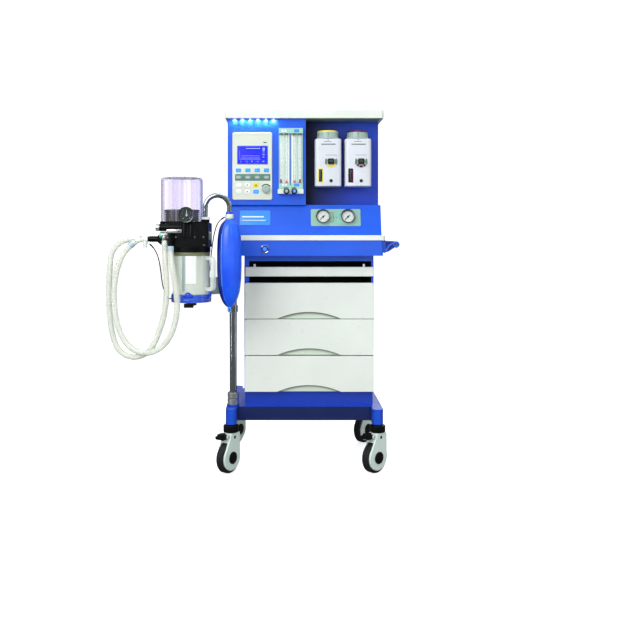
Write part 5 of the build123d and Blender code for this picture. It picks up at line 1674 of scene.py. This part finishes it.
def cover(name, matrix, width, height, louvres):
    """A screwed-on service cover with a stack of louvres."""
    shapes = [plate(width, height, 1.6, 5, 0.6)]
    half = width * 0.5
    for k in range(louvres):
        lip = [(x, y + 1.0, 4.2) for x, y, _ in round_rect(half - 3, 3.0, 1.4)]
        louvre = skin([round_rect(half, 6.0, 2.8, 1.4), round_rect(half, 6.0, 2.8, 2.2), lip])
        shapes.append(moved(louvre, 0, height / 2 - 26 - LOUVRE_PITCH * k))
    fixed(name, "blue_paint", blue_paint, matrix, *shapes)
    # Black strips under the louvres: painted shade seen through the slots.
    spots = [(0, height / 2 - 29.4 - LOUVRE_PITCH * k, 1.5) for k in range(louvres)]
    fixed(
        f"{name}_slots", "black_plastic", black_plastic, matrix,
        *at_each(plate(half - 6, 1.5, 0.5, 0.6, 0.1), spots),
    )
    heads = []
    for sx in (-1, 1):
        for sy in (-1, 1):
            heads += pan_screw(shifted(matrix, sx * (half - 10), sy * (height / 2 - 10), 1.6))
    build(f"{name}_screws", "root", "chrome", steel, heads)


cover("head_rear_cover", face_of("head_housing", back=True), 560, 300, 9)
cover("cabinet_rear_cover", face_of("cabinet_shell", back=True), 470, 500, 6)
head_low, head_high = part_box("head_housing")
side_y, side_z = at(0, 60, 1240).yz
for tag, x, turn in (("right", head_high.x, 90), ("left", head_low.x, -90)):
    cover(f"head_{tag}_cover", local(Vector((x, side_y, side_z)), turn), 220, 260, 7)
INLET_Y, INLET_Z = 200, 1012
inlet_ring = collar([(11.2, 0), (15, 0), (15, 1.6), (13.8, 2.6), (11.2, 2.6)], 48)
for k, tone in enumerate((white_ink, blue_ink, black_plastic)):
    fixed(
        f"inlet_collar_{k + 1}", "white_plastic", tone, place(-200 + 50 * k, INLET_Y, INLET_Z, 180),
        inlet_ring,
    )
socket_flange = bezel(66, 44, 2.6, 7.5, 4)
fixed(
    "power_socket_flange", "black_plastic", black_plastic, place(140, INLET_Y, INLET_Z, 180), socket_flange,
)
pin_heads = []
for sx in (-1, 1):
    pin_heads += pan_screw(place(140 + sx * 29, INLET_Y + 2.6, INLET_Z, 180), 2.2)
build("power_socket_screws", "root", "chrome", steel, pin_heads)

# ---- floor, lights, world --------------------------------------------------------------------


def studio():
    """A pale floor and backdrop, soft area lamps all round and the six small lamps under the shelf."""
    floor_mesh = bpy.data.meshes.new("floor")
    work = bmesh.new()
    bmesh.ops.create_circle(work, cap_ends=True, segments=96, radius=26.0)
    work.to_mesh(floor_mesh)
    work.free()
    floor = bpy.data.objects.new("floor", floor_mesh)
    pale = plastic("floor_paint", (0.9, 0.9, 0.9, 1), 0.8, 300.0, 0.02, 0.01)
    pale.set(Emission_Color=(1, 1, 1, 1), Emission_Strength=0.66)
    floor_mesh.materials.append(pale.material)
    drop_mesh = bpy.data.meshes.new("backdrop")
    points, faces = skin([ring(25.0, -4.0, 64), ring(25.0, 20.0, 64), ring(0.5, 26.0, 64)], caps=False)
    drop_mesh.from_pydata(points, [], faces)
    backdrop = bpy.data.objects.new("backdrop", drop_mesh)
    paper = plastic("backdrop_paper", (1, 1, 1, 1), 0.9, 300.0, 0.02, 0.01)
    paper.set(Emission_Color=(1, 1, 1, 1), Emission_Strength=1.0)
    drop_mesh.materials.append(paper.material)
    for thing in (floor, backdrop):
        bpy.context.scene.collection.objects.link(thing)
        thing.visible_glossy = False
        thing.visible_diffuse = False
        thing.visible_transmission = thing is floor
    backdrop.visible_shadow = False

    def lamp(name, energy, size, spot, aim, tint=(1, 1, 1), glossy=True):
        data = bpy.data.lights.new(name, "AREA")
        data.shape = "RECTANGLE"
        data.size, data.size_y = size
        data.energy = energy
        data.color = tint
        light = bpy.data.objects.new(name, data)
        light.location = spot
        light.rotation_euler = (Vector(aim) - Vector(spot)).to_track_quat("-Z", "Y").to_euler()
        bpy.context.scene.collection.objects.link(light)
        light.visible_glossy = glossy

    lamp("key", 98, (2.4, 2.2), (-1.9, -3.4, 2.6), (0, 0, 0.7))
    lamp("fill", 76, (3.0, 2.4), (1.2, -3.8, 0.8), (0, 0, 0.6), glossy=False)
    lamp("overhead", 18, (1.6, 1.6), (0.2, -0.4, 3.4), (0.1, 0, 0.8))
    lamp("rear", 45, (2.4, 2.0), (1.0, 3.4, 2.4), (0, 0, 0.8))
    lamp("left_strip", 12, (0.30, 2.8), (-3.0, -1.9, 1.3), (-0.2, -0.1, 0.8))
    lamp("right_strip", 7, (0.25, 2.8), (2.9, -1.2, 1.3), (0.1, -0.1, 0.8))
    for k, lamp_seat in enumerate(LAMP_SPOTS):
        spot = lamp_seat - Vector((0, 0, 0.005))
        aim = spot + Vector((0, 0.05, -0.2))
        lamp(f"shelf_lamp_{k + 1}", 0.055, (0.010, 0.010), spot, aim, (0.66, 0.90, 1))

    world = bpy.data.worlds.new("studio")
    bpy.context.scene.world = world
    world.use_nodes = True
    tree = world.node_tree
    direction = tree.nodes.new("ShaderNodeTexCoord")
    parts = tree.nodes.new("ShaderNodeSeparateXYZ")
    height = tree.nodes.new("ShaderNodeMapRange")
    tree.links.new(direction.outputs["Generated"], parts.inputs[0])
    tree.links.new(parts.outputs["Z"], height.inputs["Value"])
    for key, value in (("From Min", -0.1), ("From Max", 0.7), ("To Min", 0.14), ("To Max", 0.5)):
        height.inputs[key].default_value = value
    background = tree.nodes["Background"]
    background.inputs["Color"].default_value = (0.97, 0.985, 1.0, 1)
    tree.links.new(height.outputs[0], background.inputs["Strength"])
    bpy.context.scene.view_settings.view_transform = "Standard"


studio()
